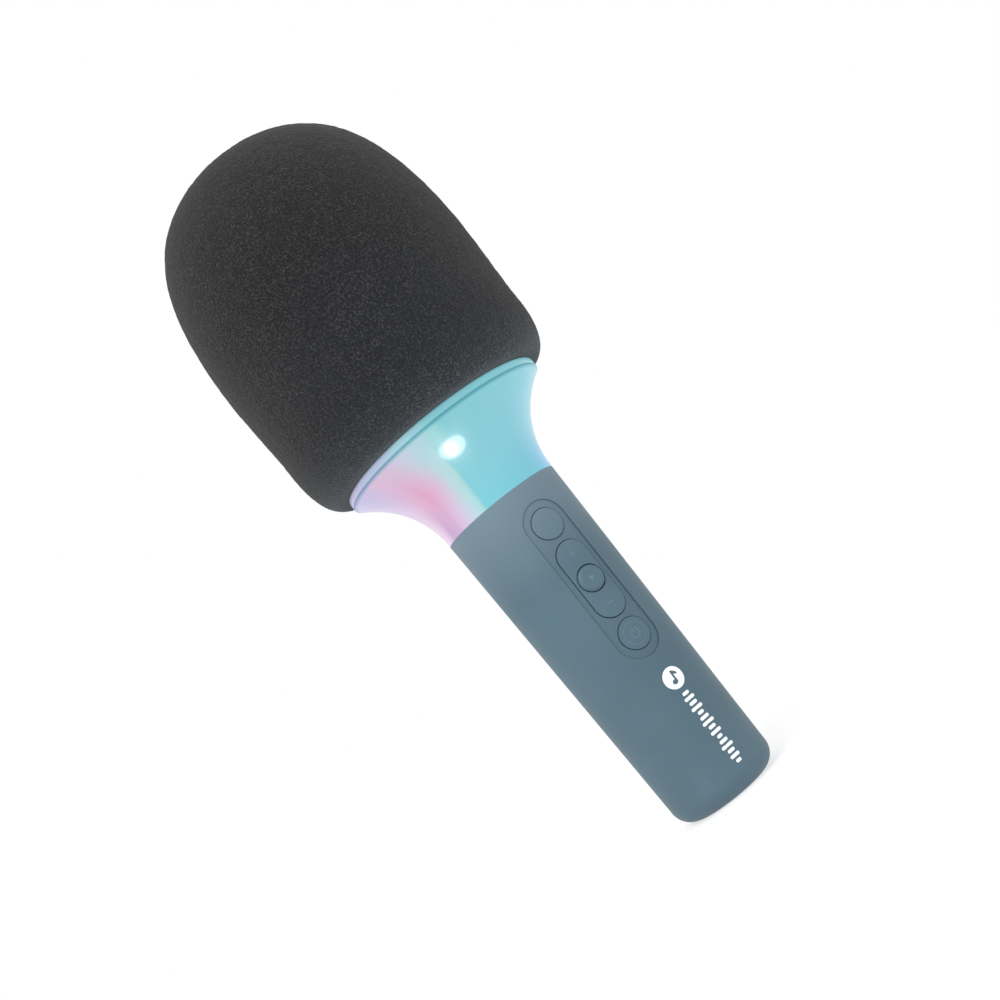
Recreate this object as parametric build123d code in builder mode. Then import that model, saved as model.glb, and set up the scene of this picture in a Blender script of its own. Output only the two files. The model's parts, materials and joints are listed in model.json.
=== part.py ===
from build123d import *
import math
import os

# Toy karaoke microphone, standing on the flat end of its grip.
# Millimetres. +Z runs up the microphone, from its base to the top of its windscreen,
# the origin is the middle of the base, and the keys face -Y.

# ---------------------------------------------------------------- driving dimensions
# Grip: a tapered tube, closed at the bottom
GRIP_HEIGHT = 105.9
GRIP_BASE_R = 17.0
GRIP_TOP_R = 19.3
GRIP_WALL = 2.2
GRIP_FOOT_FILLET = 6.0

# Collar: the translucent flare between the grip and the head
COLLAR_TOP_Z = 132.0
COLLAR_TOP_R = 34.6
COLLAR_WALL = 1.8
SPIGOT_R = 16.85
SPIGOT_BORE_R = 15.7
SPIGOT_Z = 99.0
SHELF_Z = 107.4
RIM_SEAT_Z = 133.4
RIM_TOP_Z = 134.8
RIM_GROOVE = 0.4

# Head: a foam windscreen pulled over a plastic cage
FOAM_BASE_Z = 135.2
FOAM_FOOT_R = 36.4
FOAM_HEEL_Z = 150.9
FOAM_HEEL_R = 43.1
FOAM_SHOULDER_Z = 180.8
FOAM_R = 44.2
FOAM_TOP_Z = 240.0
FOAM_FULLNESS = 0.709
CAGE_R = 33.2
CAGE_WALL = 1.6
CAGE_SHOULDER_Z = 186.0
CAGE_TOP_Z = 229.7
CAGE_FULLNESS = 0.664
FOAM_GAP = 0.3
LINER_WALL = 0.3
HEAD_DECK_Z = 135.0

# Keys, all on the line that faces -Y
PANEL_Z = 72.5
PANEL_LENGTH = 54.2
PANEL_WIDTH = 13.8
PANEL_DEPTH = 0.35
PANEL_WALL = 1.0
WINDOW_LENGTH = 51.0
WINDOW_WIDTH = 11.6
MODE_KEY_Z = 92.1
POWER_KEY_Z = 53.0
KEY_HOLE_R = 4.95
KEY_GAP = 0.25
KEY_FLANGE_R = 5.5
KEY_DEPTH = 0.05
KEY_TRAVEL = 0.4
ROCKER_LENGTH = 26.2
ROCKER_WIDTH = 10.24
ROCKER_PIVOT_Y = -13.4
ROCKER_PIN_R = 0.8
ROCKER_FOOT_REACH = 9.0
PLAY_KEY_R = 4.0

# Electronics
BOARD_FRONT_Y = -7.6
BOARD_BACK_Y = -6.0
BOARD_WIDTH = 20.0
BOARD_BASE_Z = 3.2
BOARD_TOP_Z = 99.0
SWITCH_SIZE = 6.0
SWITCH_HEIGHT = 3.5
SWITCH_BORE_R = 1.85
PLUNGER_R = 1.75
PLUNGER_TIP_Y = -12.6
CELL_R = 9.25
CELL_LENGTH = 65.0
CELL_Y = 5.0
CELL_BASE_Z = 13.8
USB_WIDTH = 8.94
USB_HEIGHT = 3.26
USB_DEPTH = 7.35
USB_Z = 0.6

# Fasteners
SCREW_R = 0.8
PILOT_R = 0.85
HEAD_SCREW_CIRCLE_R = 26.2
HEAD_SCREW_COUNT = 4

FRONT_REACH = 40.0
LARGEST_BEND_R = 60.0
TINY = 0.02
BOTTOM = (Align.CENTER, Align.CENTER, Align.MIN)
TOP = (Align.CENTER, Align.CENTER, Align.MAX)


# ---------------------------------------------------------------- shared geometry
def grip_r(z):
    """Outer radius of the grip at a height."""
    return GRIP_BASE_R + (GRIP_TOP_R - GRIP_BASE_R) * z / GRIP_HEIGHT


def front(x, y, z):
    """Place at a point with the local Z axis pointing forwards, out of the key face."""
    return Location((x, y, z), (90, 0, 0))


def grip_layer(outer_depth, inner_depth):
    """Section through the axis of the layer between two depths under the grip's surface."""
    with BuildSketch(Plane.XZ) as layer:
        with BuildLine():
            Polyline(
                (grip_r(0) - inner_depth, 0),
                (grip_r(0) - outer_depth, 0),
                (grip_r(GRIP_HEIGHT) - outer_depth, GRIP_HEIGHT),
                (grip_r(GRIP_HEIGHT) - inner_depth, GRIP_HEIGHT),
                close=True,
            )
        make_face()
    return layer.sketch


def front_layer(outline, outer_depth, inner_depth):
    """The part of such a layer that lies behind an outline drawn on the key face."""
    with BuildPart() as piece:
        revolve(grip_layer(outer_depth, inner_depth), Axis.Z)
        extrude(outline, amount=FRONT_REACH, mode=Mode.INTERSECT)
    return piece.part


def slot_outline(z, length, width):
    """Upright slot on the key face."""
    with BuildSketch(Plane.XZ) as outline:
        with Locations((0, z)):
            SlotOverall(length, width, rotation=90)
    return outline.sketch


def round_outline(z, radius):
    """Circle on the key face."""
    with BuildSketch(Plane.XZ) as outline:
        with Locations((0, z)):
            Circle(radius)
    return outline.sketch


def dome_shell(outer_r, base_z, shoulder_z, top_z, wall, fullness):
    """Section of a round-topped tube: straight sides, then a full dome."""
    inner_r = outer_r - wall
    inner_top = top_z - wall
    rise = top_z - shoulder_z
    inner_rise = inner_top - shoulder_z
    with BuildSketch(Plane.XZ) as section:
        with BuildLine():
            Line((inner_r, base_z), (outer_r, base_z))
            Line((outer_r, base_z), (outer_r, shoulder_z))
            Bezier(
                (outer_r, shoulder_z),
                (outer_r, shoulder_z + fullness * rise),
                (fullness * outer_r, top_z),
                (0, top_z),
            )
            Line((0, top_z), (0, inner_top))
            Bezier(
                (0, inner_top),
                (fullness * inner_r, inner_top),
                (inner_r, shoulder_z + fullness * inner_rise),
                (inner_r, shoulder_z),
            )
            Line((inner_r, shoulder_z), (inner_r, base_z))
        make_face()
    return section.sketch


def ring_section(inner_r, outer_r, low_z, high_z):
    """Section of a plain flat ring."""
    with BuildSketch(Plane.XZ) as section:
        with Locations(((inner_r + outer_r) / 2, (low_z + high_z) / 2)):
            Rectangle(outer_r - inner_r, high_z - low_z)
    return section.sketch


def add_screw(shank_r, shank_length, head_r, head_height):
    """Cross-head screw at the current locations, seated at local Z = 0 with its head up."""
    slot_width = 0.22 * head_r
    slot_length = 1.2 * head_r
    Cylinder(shank_r, shank_length, align=TOP)
    Cylinder(head_r, head_height, align=BOTTOM)
    with Locations((0, 0, head_height)):
        Box(slot_length, slot_width, head_height, mode=Mode.SUBTRACT)
        Box(slot_width, slot_length, head_height, mode=Mode.SUBTRACT)


def bend_radii(points):
    """Radius of each bend of a route: as large as the shorter of its two runs allows."""
    corners = [Vector(*point) for point in points]
    radii = []
    for before, corner, after in zip(corners, corners[1:], corners[2:]):
        arriving = corner - before
        leaving = after - corner
        half_turn = math.radians(arriving.get_angle(leaving)) / 2
        shorter = min(arriving.length, leaving.length)
        radii.append(min(0.45 * shorter / math.tan(half_turn), LARGEST_BEND_R))
    return radii


def add_wire(points, wire_r):
    """Round wire along straight runs joined by arcs."""
    with BuildLine(mode=Mode.PRIVATE) as route:
        FilletPolyline(*points, radius=bend_radii(points))
    path = route.line
    with BuildSketch(Plane(origin=path @ 0, z_dir=path % 0), mode=Mode.PRIVATE) as section:
        Circle(wire_r)
    sweep(section.sketch, path=path)


# ---------------------------------------------------------------- grip
panel_seat = front_layer(
    slot_outline(PANEL_Z, PANEL_LENGTH, PANEL_WIDTH), -1.0, PANEL_DEPTH + PANEL_WALL
)

with BuildPart() as grip_sleeve:
    with BuildSketch(Plane.XZ):
        with BuildLine():
            Polyline(
                (0, 0),
                (grip_r(0), 0),
                (grip_r(GRIP_HEIGHT), GRIP_HEIGHT),
                (grip_r(GRIP_HEIGHT) - GRIP_WALL, GRIP_HEIGHT),
                (grip_r(GRIP_WALL) - GRIP_WALL, GRIP_WALL),
                (0, GRIP_WALL),
                close=True,
            )
        sleeve_section = make_face()
        outer_foot = sleeve_section.vertices().group_by(Axis.Y)[0].sort_by(Axis.X)[-1]
        fillet(outer_foot, GRIP_FOOT_FILLET)
        inner_foot = vertices().filter_by_position(Axis.Y, GRIP_WALL - TINY, GRIP_WALL + TINY)
        fillet(inner_foot.sort_by(Axis.X)[-1], GRIP_FOOT_FILLET - GRIP_WALL)
    revolve(axis=Axis.Z)
    add(panel_seat, mode=Mode.SUBTRACT)
    extrude(slot_outline(PANEL_Z, WINDOW_LENGTH, WINDOW_WIDTH), amount=FRONT_REACH, mode=Mode.SUBTRACT)
    with BuildSketch(Plane.XY.offset(-1)):
        with Locations((0, BOARD_BACK_Y + USB_HEIGHT / 2)):
            SlotOverall(USB_WIDTH + 0.5, USB_HEIGHT + 0.5)
    extrude(amount=1 + GRIP_WALL + 1, mode=Mode.SUBTRACT)

# ---------------------------------------------------------------- key panel and keys
with BuildPart() as key_panel:
    add(front_layer(
        slot_outline(PANEL_Z, PANEL_LENGTH - 0.3, PANEL_WIDTH - 0.3),
        PANEL_DEPTH,
        PANEL_DEPTH + PANEL_WALL,
    ))
    for key_z in (MODE_KEY_Z, POWER_KEY_Z):
        extrude(round_outline(key_z, KEY_HOLE_R), amount=FRONT_REACH, mode=Mode.SUBTRACT)
    extrude(slot_outline(PANEL_Z, ROCKER_LENGTH, ROCKER_WIDTH), amount=FRONT_REACH, mode=Mode.SUBTRACT)

FLANGE_TOP = PANEL_DEPTH + PANEL_WALL + 0.1
FLANGE_BASE = FLANGE_TOP + 0.7
STEM_R = 1.9


def round_key(z):
    """Round key: a cap that follows the grip, a flange behind the panel and a stem."""
    cap = front_layer(round_outline(z, KEY_HOLE_R - KEY_GAP), KEY_DEPTH, FLANGE_BASE)
    flange = front_layer(round_outline(z, KEY_FLANGE_R), FLANGE_TOP, FLANGE_BASE)
    flange_y = -(grip_r(z) - FLANGE_BASE + TINY)
    with BuildPart() as key:
        add(cap)
        add(flange)
        with BuildSketch(Plane.XZ.offset(-PLUNGER_TIP_Y + TINY)):
            with Locations((0, z)):
                Circle(STEM_R)
        extrude(amount=-flange_y + PLUNGER_TIP_Y)
    return key


mode_key = round_key(MODE_KEY_Z)
power_key = round_key(POWER_KEY_Z)

ROCKER_PLATE = 1.6
ROCKER_SKIRT = 4.2
ROCKER_WALL = 0.9
ROCKER_HOLE_R = PLAY_KEY_R + KEY_GAP
rocker_length = ROCKER_LENGTH - 2 * KEY_GAP
rocker_width = ROCKER_WIDTH - 2 * KEY_GAP
rocker_cap = front_layer(slot_outline(PANEL_Z, rocker_length, rocker_width), KEY_DEPTH, ROCKER_SKIRT)
rocker_pocket = front_layer(
    slot_outline(PANEL_Z, rocker_length - 2 * ROCKER_WALL, rocker_width - 2 * ROCKER_WALL),
    KEY_DEPTH + ROCKER_PLATE,
    ROCKER_SKIRT + 1.0,
)
ROCKER_LUG_TIP = 12.6
ROCKER_FOOT_TIP = 13.05

with BuildPart() as volume_rocker:
    add(rocker_cap)
    add(rocker_pocket, mode=Mode.SUBTRACT)
    with BuildSketch(Plane.XZ.offset(grip_r(PANEL_Z) - 3.5)):
        with Locations((0, PANEL_Z)):
            Circle(ROCKER_HOLE_R)
    extrude(amount=FRONT_REACH, mode=Mode.SUBTRACT)
    with BuildSketch(Plane.XZ.offset(ROCKER_LUG_TIP)):
        with Locations(
            (rocker_width / 2 - ROCKER_WALL / 2, PANEL_Z),
            (-rocker_width / 2 + ROCKER_WALL / 2, PANEL_Z),
        ):
            Rectangle(ROCKER_WALL, 3.2)
    extrude(amount=2.4)
    for side in (1, -1):
        with BuildSketch(Plane.YZ.offset(side * (rocker_width / 2 - 0.3))):
            with Locations((ROCKER_PIVOT_Y, PANEL_Z)):
                Circle(ROCKER_PIN_R)
        extrude(amount=side * 1.65)
    with BuildSketch(Plane.XZ.offset(ROCKER_FOOT_TIP)):
        with Locations((0, PANEL_Z + ROCKER_FOOT_REACH), (0, PANEL_Z - ROCKER_FOOT_REACH)):
            Circle(PLUNGER_R - 0.05)
    extrude(amount=grip_r(PANEL_Z) - 1.0 - ROCKER_FOOT_TIP)

PLAY_FLANGE_Y = 15.6
PLAY_FLANGE_WALL = 0.5
PLAY_DOME_RISE = 0.75
play_top = grip_r(PANEL_Z) - KEY_DEPTH + PLAY_DOME_RISE

with BuildPart() as play_key:
    with BuildSketch(Plane.XZ.offset(PLAY_FLANGE_Y)):
        with Locations((0, PANEL_Z)):
            Rectangle(7.2, 10.6)
    extrude(amount=PLAY_FLANGE_WALL)
    with BuildSketch(Plane.XZ.offset(PLAY_FLANGE_Y + PLAY_FLANGE_WALL - 0.1)):
        with Locations((0, PANEL_Z)):
            Circle(PLAY_KEY_R)
    extrude(amount=play_top - PLAY_FLANGE_Y - PLAY_FLANGE_WALL + 0.1)
    fillet(edges().sort_by(Axis.Y)[0], 1.3)
    with BuildSketch(Plane.XZ.offset(-PLUNGER_TIP_Y + TINY)):
        with Locations((0, PANEL_Z)):
            Circle(STEM_R)
    extrude(amount=PLAY_FLANGE_Y + PLUNGER_TIP_Y)

# ---------------------------------------------------------------- switches
SWITCH_ZS = (
    POWER_KEY_Z,
    PANEL_Z - ROCKER_FOOT_REACH,
    PANEL_Z,
    PANEL_Z + ROCKER_FOOT_REACH,
    MODE_KEY_Z,
)
switch_top_y = BOARD_FRONT_Y - SWITCH_HEIGHT

with BuildPart() as switch_housings:
    with Locations(*[front(0, BOARD_FRONT_Y, z) for z in SWITCH_ZS]):
        Box(SWITCH_SIZE, SWITCH_SIZE, SWITCH_HEIGHT, align=BOTTOM)
        with Locations((0, 0, SWITCH_HEIGHT)):
            Cylinder(SWITCH_BORE_R, 1.0, align=TOP, mode=Mode.SUBTRACT)


def switch_plunger(*heights):
    """Plungers of the switches at these heights, each a plain round post."""
    with BuildPart() as plunger:
        with Locations(*[front(0, switch_top_y + 0.5, z) for z in heights]):
            Cylinder(PLUNGER_R, switch_top_y + 0.5 - PLUNGER_TIP_Y, align=BOTTOM)
    return plunger


mode_plunger = switch_plunger(MODE_KEY_Z)
play_plunger = switch_plunger(PANEL_Z)
power_plunger = switch_plunger(POWER_KEY_Z)
volume_plungers = switch_plunger(PANEL_Z - ROCKER_FOOT_REACH, PANEL_Z + ROCKER_FOOT_REACH)

# ---------------------------------------------------------------- key bracket and board
BRACKET_X = 5.7
BRACKET_RAIL = 1.4
BRACKET_LOW_Z = 48.0
BRACKET_HIGH_Z = 97.0
BRACKET_PLATE_Y = -12.3
BRACKET_PLATE = 0.9
PEG_ZS = (49.5, 95.5)
bracket_height = BRACKET_HIGH_Z - BRACKET_LOW_Z
bracket_middle_z = (BRACKET_HIGH_Z + BRACKET_LOW_Z) / 2
pegs = [(x, z) for x in (-BRACKET_X, BRACKET_X) for z in PEG_ZS]

with BuildPart() as key_bracket:
    with Locations(front(BRACKET_X, BOARD_FRONT_Y, bracket_middle_z),
                   front(-BRACKET_X, BOARD_FRONT_Y, bracket_middle_z)):
        Box(BRACKET_RAIL, bracket_height, BOARD_FRONT_Y - BRACKET_PLATE_Y, align=BOTTOM)
    with Locations(front(0, BRACKET_PLATE_Y, bracket_middle_z)):
        Box(2 * BRACKET_X, bracket_height, BRACKET_PLATE, align=TOP)
    with Locations(*[front(0, BRACKET_PLATE_Y, z) for z in (POWER_KEY_Z, PANEL_Z, MODE_KEY_Z)]):
        Cylinder(3.0, 1.7, align=BOTTOM)
    with Locations(*[front(0, -14.5, z) for z in SWITCH_ZS]):
        Cylinder(STEM_R + 0.1, 4.0, align=TOP, mode=Mode.SUBTRACT)
    for side in (1, -1):
        with Locations(front(side * BRACKET_X, BRACKET_PLATE_Y, PANEL_Z)):
            Box(BRACKET_RAIL, 4.0, 2.6, align=BOTTOM)
        with Locations(Location((side * BRACKET_X, ROCKER_PIVOT_Y, PANEL_Z), (0, 90, 0))):
            Cylinder(ROCKER_PIN_R + 0.05, BRACKET_RAIL + 1, mode=Mode.SUBTRACT)
    with Locations(*[front(x, BOARD_FRONT_Y + 2.0, z) for x, z in pegs]):
        Cylinder(0.55, 2.2, align=BOTTOM)

BOARD_SCREWS = [(x, z) for x in (-8.2, 8.2) for z in (12.5, 94.0)]
board_length = BOARD_TOP_Z - BOARD_BASE_Z
board_wall = BOARD_BACK_Y - BOARD_FRONT_Y

with BuildPart() as main_board:
    with Locations(front(0, BOARD_BACK_Y, BOARD_BASE_Z + board_length / 2)):
        Box(BOARD_WIDTH, board_length, board_wall, align=BOTTOM)
    with Locations(*[front(x, BOARD_BACK_Y + 1, z) for x, z in pegs]):
        Cylinder(0.6, board_wall + 2, align=BOTTOM, mode=Mode.SUBTRACT)
    with Locations(*[front(x, BOARD_BACK_Y + 1, z) for x, z in BOARD_SCREWS]):
        Cylinder(PILOT_R, board_wall + 2, align=BOTTOM, mode=Mode.SUBTRACT)

with BuildPart() as board_screws:
    with Locations(*[front(x, BOARD_FRONT_Y, z) for x, z in BOARD_SCREWS]):
        add_screw(SCREW_R, 4.0, 1.6, 1.1)

CHIPS = [(0, 33.0, 9.0, 9.0, 1.2), (-5.5, 43.0, 5.0, 4.0, 1.5), (5.0, 21.0, 5.0, 5.0, 1.0)]

with BuildPart() as board_chips:
    for x, z, width, height, depth in CHIPS:
        with Locations(front(x, BOARD_FRONT_Y, z)):
            Box(width, height, depth, align=BOTTOM)
    chamfer(faces().sort_by(Axis.Y)[:3].edges(), 0.15)

BATTERY_PLUG_Z = 43.0
CONNECTORS = [(6.8, BATTERY_PLUG_Z), (-6.8, 21.0), (-6.8, 29.0), (-6.8, 37.0)]

with BuildPart() as wire_connectors:
    with Locations(*[front(x, BOARD_FRONT_Y, z) for x, z in CONNECTORS]):
        Box(4.0, 5.5, 4.2, align=BOTTOM)
        with Locations((0, 0, 4.2)):
            Box(2.6, 4.3, 3.0, align=TOP, mode=Mode.SUBTRACT)

with BuildPart() as usb_socket:
    usb_y = BOARD_BACK_Y + USB_HEIGHT / 2
    with BuildSketch(Plane.XY.offset(USB_Z)):
        with Locations((0, usb_y)):
            SlotOverall(USB_WIDTH, USB_HEIGHT)
    extrude(amount=USB_DEPTH)
    with BuildSketch(Plane.XY.offset(USB_Z)):
        with Locations((0, usb_y)):
            SlotOverall(USB_WIDTH - 0.7, USB_HEIGHT - 0.7)
    extrude(amount=USB_DEPTH - 1.0, mode=Mode.SUBTRACT)
    with Locations((0, usb_y, USB_Z + 0.5)):
        Box(6.7, 0.7, USB_DEPTH - 1.0, align=BOTTOM)

# ---------------------------------------------------------------- chassis and battery
WEB_BACK_Y = -4.5
WEB_FRONT_Y = -5.6
CHEEK_X = 10.25
CHEEK = 1.3
CHASSIS_BASE_Z = 9.5
DECK_Z = 101.5
DECK = 2.0
DECK_R = 15.3
STOP_WALL = 1.6
CELL_TOP_Z = CELL_BASE_Z + CELL_LENGTH
WIRE_PORT_R = 3.6
WIRE_PORT_Y = 6.0
NECK_SCREWS = [(-9.5, 3.0), (9.5, 3.0)]

with BuildPart() as chassis:
    with Locations(front(0, WEB_BACK_Y, CHASSIS_BASE_Z)):
        Box(2 * CHEEK_X, DECK_Z - CHASSIS_BASE_Z, WEB_BACK_Y - WEB_FRONT_Y,
            align=(Align.CENTER, Align.MIN, Align.MIN))
    with Locations((CHEEK_X, WEB_FRONT_Y, 12.0), (-CHEEK_X, WEB_FRONT_Y, 12.0)):
        Box(CHEEK, 4.5 - WEB_FRONT_Y, 70.0, align=(Align.CENTER, Align.MIN, Align.MIN))
    with Locations((0, WEB_FRONT_Y, CELL_BASE_Z - 0.4 - STOP_WALL), (0, WEB_FRONT_Y, CELL_TOP_Z + 0.4)):
        Box(18.0, 14.0, STOP_WALL, align=(Align.CENTER, Align.MIN, Align.MIN))
    with Locations((0, 0, DECK_Z)):
        Cylinder(DECK_R, DECK, align=BOTTOM)
    with Locations((0, WIRE_PORT_Y, DECK_Z)):
        Cylinder(WIRE_PORT_R, 3 * DECK, mode=Mode.SUBTRACT)
    with Locations(*[(x, y, DECK_Z) for x, y in NECK_SCREWS]):
        Cylinder(2.2, 4.0, align=TOP)
        Cylinder(PILOT_R, 12.0, mode=Mode.SUBTRACT)
    with Locations(*[front(x, -3.0, z) for x, z in BOARD_SCREWS]):
        Cylinder(1.8, 3.0, align=BOTTOM)
        Cylinder(PILOT_R, 8.0, mode=Mode.SUBTRACT)

with BuildPart() as battery_cell:
    with Locations((0, CELL_Y, CELL_BASE_Z)):
        Cylinder(CELL_R, CELL_LENGTH - 0.8, align=BOTTOM)
    fillet(edges().filter_by(GeomType.CIRCLE), 0.6)
    with Locations((0, CELL_Y, CELL_TOP_Z - 0.9)):
        Cylinder(3.0, 0.9, align=BOTTOM)

TAB = 0.2
with BuildPart() as battery_tabs:
    with Locations((0, CELL_Y + 1.4, CELL_BASE_Z - TAB), (0, CELL_Y + 1.4, CELL_TOP_Z)):
        Box(13.0, 3.2, TAB, align=(Align.MIN, Align.CENTER, Align.MIN))

with BuildPart() as battery_clip:
    with Locations((0, CELL_Y, 38.0)):
        Cylinder(CELL_R + 0.9, 16.0, align=BOTTOM)
        Cylinder(CELL_R + 0.1, 40.0, mode=Mode.SUBTRACT)
    with Locations((0, 4.6, 30.0)):
        Box(30.0, 30.0, 30.0, align=(Align.CENTER, Align.MAX, Align.MIN), mode=Mode.SUBTRACT)

# ---------------------------------------------------------------- collar and rim
with BuildPart() as light_collar:
    with BuildSketch(Plane.XZ):
        with BuildLine():
            Bezier(
                (GRIP_TOP_R, GRIP_HEIGHT),
                (GRIP_TOP_R, GRIP_HEIGHT + 11.4),
                (COLLAR_TOP_R - 9.2, COLLAR_TOP_Z - 5.8),
                (COLLAR_TOP_R, COLLAR_TOP_Z),
            )
            Line((COLLAR_TOP_R, COLLAR_TOP_Z), (COLLAR_TOP_R - 3.4, COLLAR_TOP_Z))
            Bezier(
                (COLLAR_TOP_R - 3.4, COLLAR_TOP_Z),
                (COLLAR_TOP_R - 10.6, COLLAR_TOP_Z - 5.0),
                (GRIP_TOP_R - COLLAR_WALL, SHELF_Z + 10.6),
                (GRIP_TOP_R - COLLAR_WALL, SHELF_Z),
            )
            Polyline(
                (GRIP_TOP_R - COLLAR_WALL, SHELF_Z),
                (SPIGOT_BORE_R, SHELF_Z),
                (SPIGOT_BORE_R, SPIGOT_Z),
                (SPIGOT_R, SPIGOT_Z),
                (SPIGOT_R, GRIP_HEIGHT),
                (GRIP_TOP_R, GRIP_HEIGHT),
            )
        make_face()
    revolve(axis=Axis.Z)

RIM_BORE_R = 29.5
RIM_LIP_R = CAGE_R + 0.1

with BuildPart() as rim_ring:
    with BuildSketch(Plane.XZ):
        with BuildLine():
            Polyline(
                (RIM_BORE_R, COLLAR_TOP_Z),
                (COLLAR_TOP_R - RIM_GROOVE, COLLAR_TOP_Z),
                (COLLAR_TOP_R - RIM_GROOVE, COLLAR_TOP_Z + RIM_GROOVE),
                (COLLAR_TOP_R, COLLAR_TOP_Z + RIM_GROOVE),
                (COLLAR_TOP_R, RIM_TOP_Z),
                (RIM_LIP_R, RIM_TOP_Z),
                (RIM_LIP_R, RIM_SEAT_Z),
                (RIM_BORE_R, RIM_SEAT_Z),
                close=True,
            )
        ring_face = make_face()
        outer_corner = ring_face.vertices().group_by(Axis.Y)[-1].sort_by(Axis.X)[-1]
        fillet(outer_corner, 0.6)
    revolve(axis=Axis.Z)

# ---------------------------------------------------------------- neck core and lights
NECK_TUBE_R = 15.5
NECK_FLARE_R = 20.6
NECK_WALL = 1.2
NECK_BASE_Z = DECK_Z + DECK
NECK_FLOOR_Z = NECK_BASE_Z + 1.5
NECK_FLANGE_R = 27.6
NECK_FLANGE_Z = 130.0
NECK_FLANGE = 1.2
FLARE_LOW_Z = 113.0
FLARE_HIGH_Z = 124.0
MIC_PORT_ANGLE = 0.0
MIC_PORT_R = 26.3

with BuildPart() as neck_core:
    with BuildSketch(Plane.XZ):
        with BuildLine():
            Polyline(
                (0, NECK_BASE_Z),
                (NECK_TUBE_R, NECK_BASE_Z),
                (NECK_TUBE_R, SHELF_Z),
                (GRIP_TOP_R - COLLAR_WALL - 0.3, SHELF_Z),
                (GRIP_TOP_R - COLLAR_WALL - 0.3, SHELF_Z + NECK_WALL),
                (NECK_TUBE_R, SHELF_Z + NECK_WALL),
                (NECK_TUBE_R, FLARE_LOW_Z),
                (NECK_FLARE_R, FLARE_HIGH_Z),
                (NECK_FLARE_R, NECK_FLANGE_Z),
                (NECK_FLANGE_R, NECK_FLANGE_Z),
                (NECK_FLANGE_R, NECK_FLANGE_Z + NECK_FLANGE),
                (NECK_FLARE_R - NECK_WALL, NECK_FLANGE_Z + NECK_FLANGE),
                (NECK_FLARE_R - NECK_WALL, FLARE_HIGH_Z),
                (NECK_TUBE_R - NECK_WALL, FLARE_LOW_Z),
                (NECK_TUBE_R - NECK_WALL, NECK_FLOOR_Z),
                (0, NECK_FLOOR_Z),
                close=True,
            )
        make_face()
    revolve(axis=Axis.Z)
    with PolarLocations(HEAD_SCREW_CIRCLE_R, HEAD_SCREW_COUNT, start_angle=45):
        with Locations((0, 0, NECK_FLANGE_Z + NECK_FLANGE)):
            Cylinder(1.7, RIM_SEAT_Z - NECK_FLANGE_Z - NECK_FLANGE, align=BOTTOM)
            Cylinder(PILOT_R, 8.0, mode=Mode.SUBTRACT)
    with Locations((0, WIRE_PORT_Y, NECK_BASE_Z)):
        Cylinder(WIRE_PORT_R, 8.0, mode=Mode.SUBTRACT)
    with Locations(*[(x, y, NECK_BASE_Z) for x, y in NECK_SCREWS]):
        Cylinder(PILOT_R, 8.0, mode=Mode.SUBTRACT)
    with Locations((0, NECK_FLARE_R, 127.0)):
        Box(4.0, 6.0, 3.0, mode=Mode.SUBTRACT)

with BuildPart() as neck_screws:
    with Locations(*[(x, y, NECK_FLOOR_Z) for x, y in NECK_SCREWS]):
        add_screw(SCREW_R, 5.0, 1.6, 1.1)

LED_BOARD_Z = 128.2
LED_BOARD = 1.2
LED_CIRCLE_R = 23.0
LED_COUNT = 12

with BuildPart() as led_board:
    revolve(ring_section(NECK_FLARE_R + 0.3, 25.8, LED_BOARD_Z, LED_BOARD_Z + LED_BOARD), Axis.Z)
    with PolarLocations(24.0, 3, start_angle=15):
        with Locations((0, 0, LED_BOARD_Z)):
            Cylinder(PILOT_R, 6.0, mode=Mode.SUBTRACT)

with BuildPart() as led_emitters:
    with PolarLocations(LED_CIRCLE_R, LED_COUNT):
        with Locations((0, 0, LED_BOARD_Z)):
            Box(2.6, 3.4, 1.2, align=TOP)

with BuildPart() as led_board_screws:
    with PolarLocations(24.0, 3, start_angle=15):
        with Locations(Location((0, 0, LED_BOARD_Z), (180, 0, 0))):
            add_screw(SCREW_R, LED_BOARD + 0.55, 1.1, 0.8)

# ---------------------------------------------------------------- head deck and speaker
DECK_BORE_R = 22.0
HEAD_DECK_R = 31.4

with BuildPart() as head_deck:
    revolve(ring_section(DECK_BORE_R, HEAD_DECK_R, RIM_SEAT_Z, HEAD_DECK_Z), Axis.Z)
    revolve(ring_section(28.0, 29.3, COLLAR_TOP_Z - 0.4, RIM_SEAT_Z), Axis.Z)
    with PolarLocations(HEAD_SCREW_CIRCLE_R, HEAD_SCREW_COUNT, start_angle=45):
        with Locations((0, 0, HEAD_DECK_Z)):
            Cylinder(PILOT_R + 0.15, 8.0, mode=Mode.SUBTRACT)
    with PolarLocations(MIC_PORT_R, 1, start_angle=MIC_PORT_ANGLE):
        with Locations((0, 0, HEAD_DECK_Z)):
            Cylinder(1.1, 8.0, mode=Mode.SUBTRACT)
    with PolarLocations(29.6, 3, start_angle=90):
        with Locations((0, 0, HEAD_DECK_Z)):
            Cylinder(PILOT_R, 8.0, mode=Mode.SUBTRACT)

FRAME_Z = HEAD_DECK_Z
FRAME_WALL = 0.8
BASKET_BASE_Z = 125.7
BASKET_BASE_R = 13.5
BASKET_SHOULDER_Z = 133.9
BASKET_TOP_R = 21.7

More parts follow.
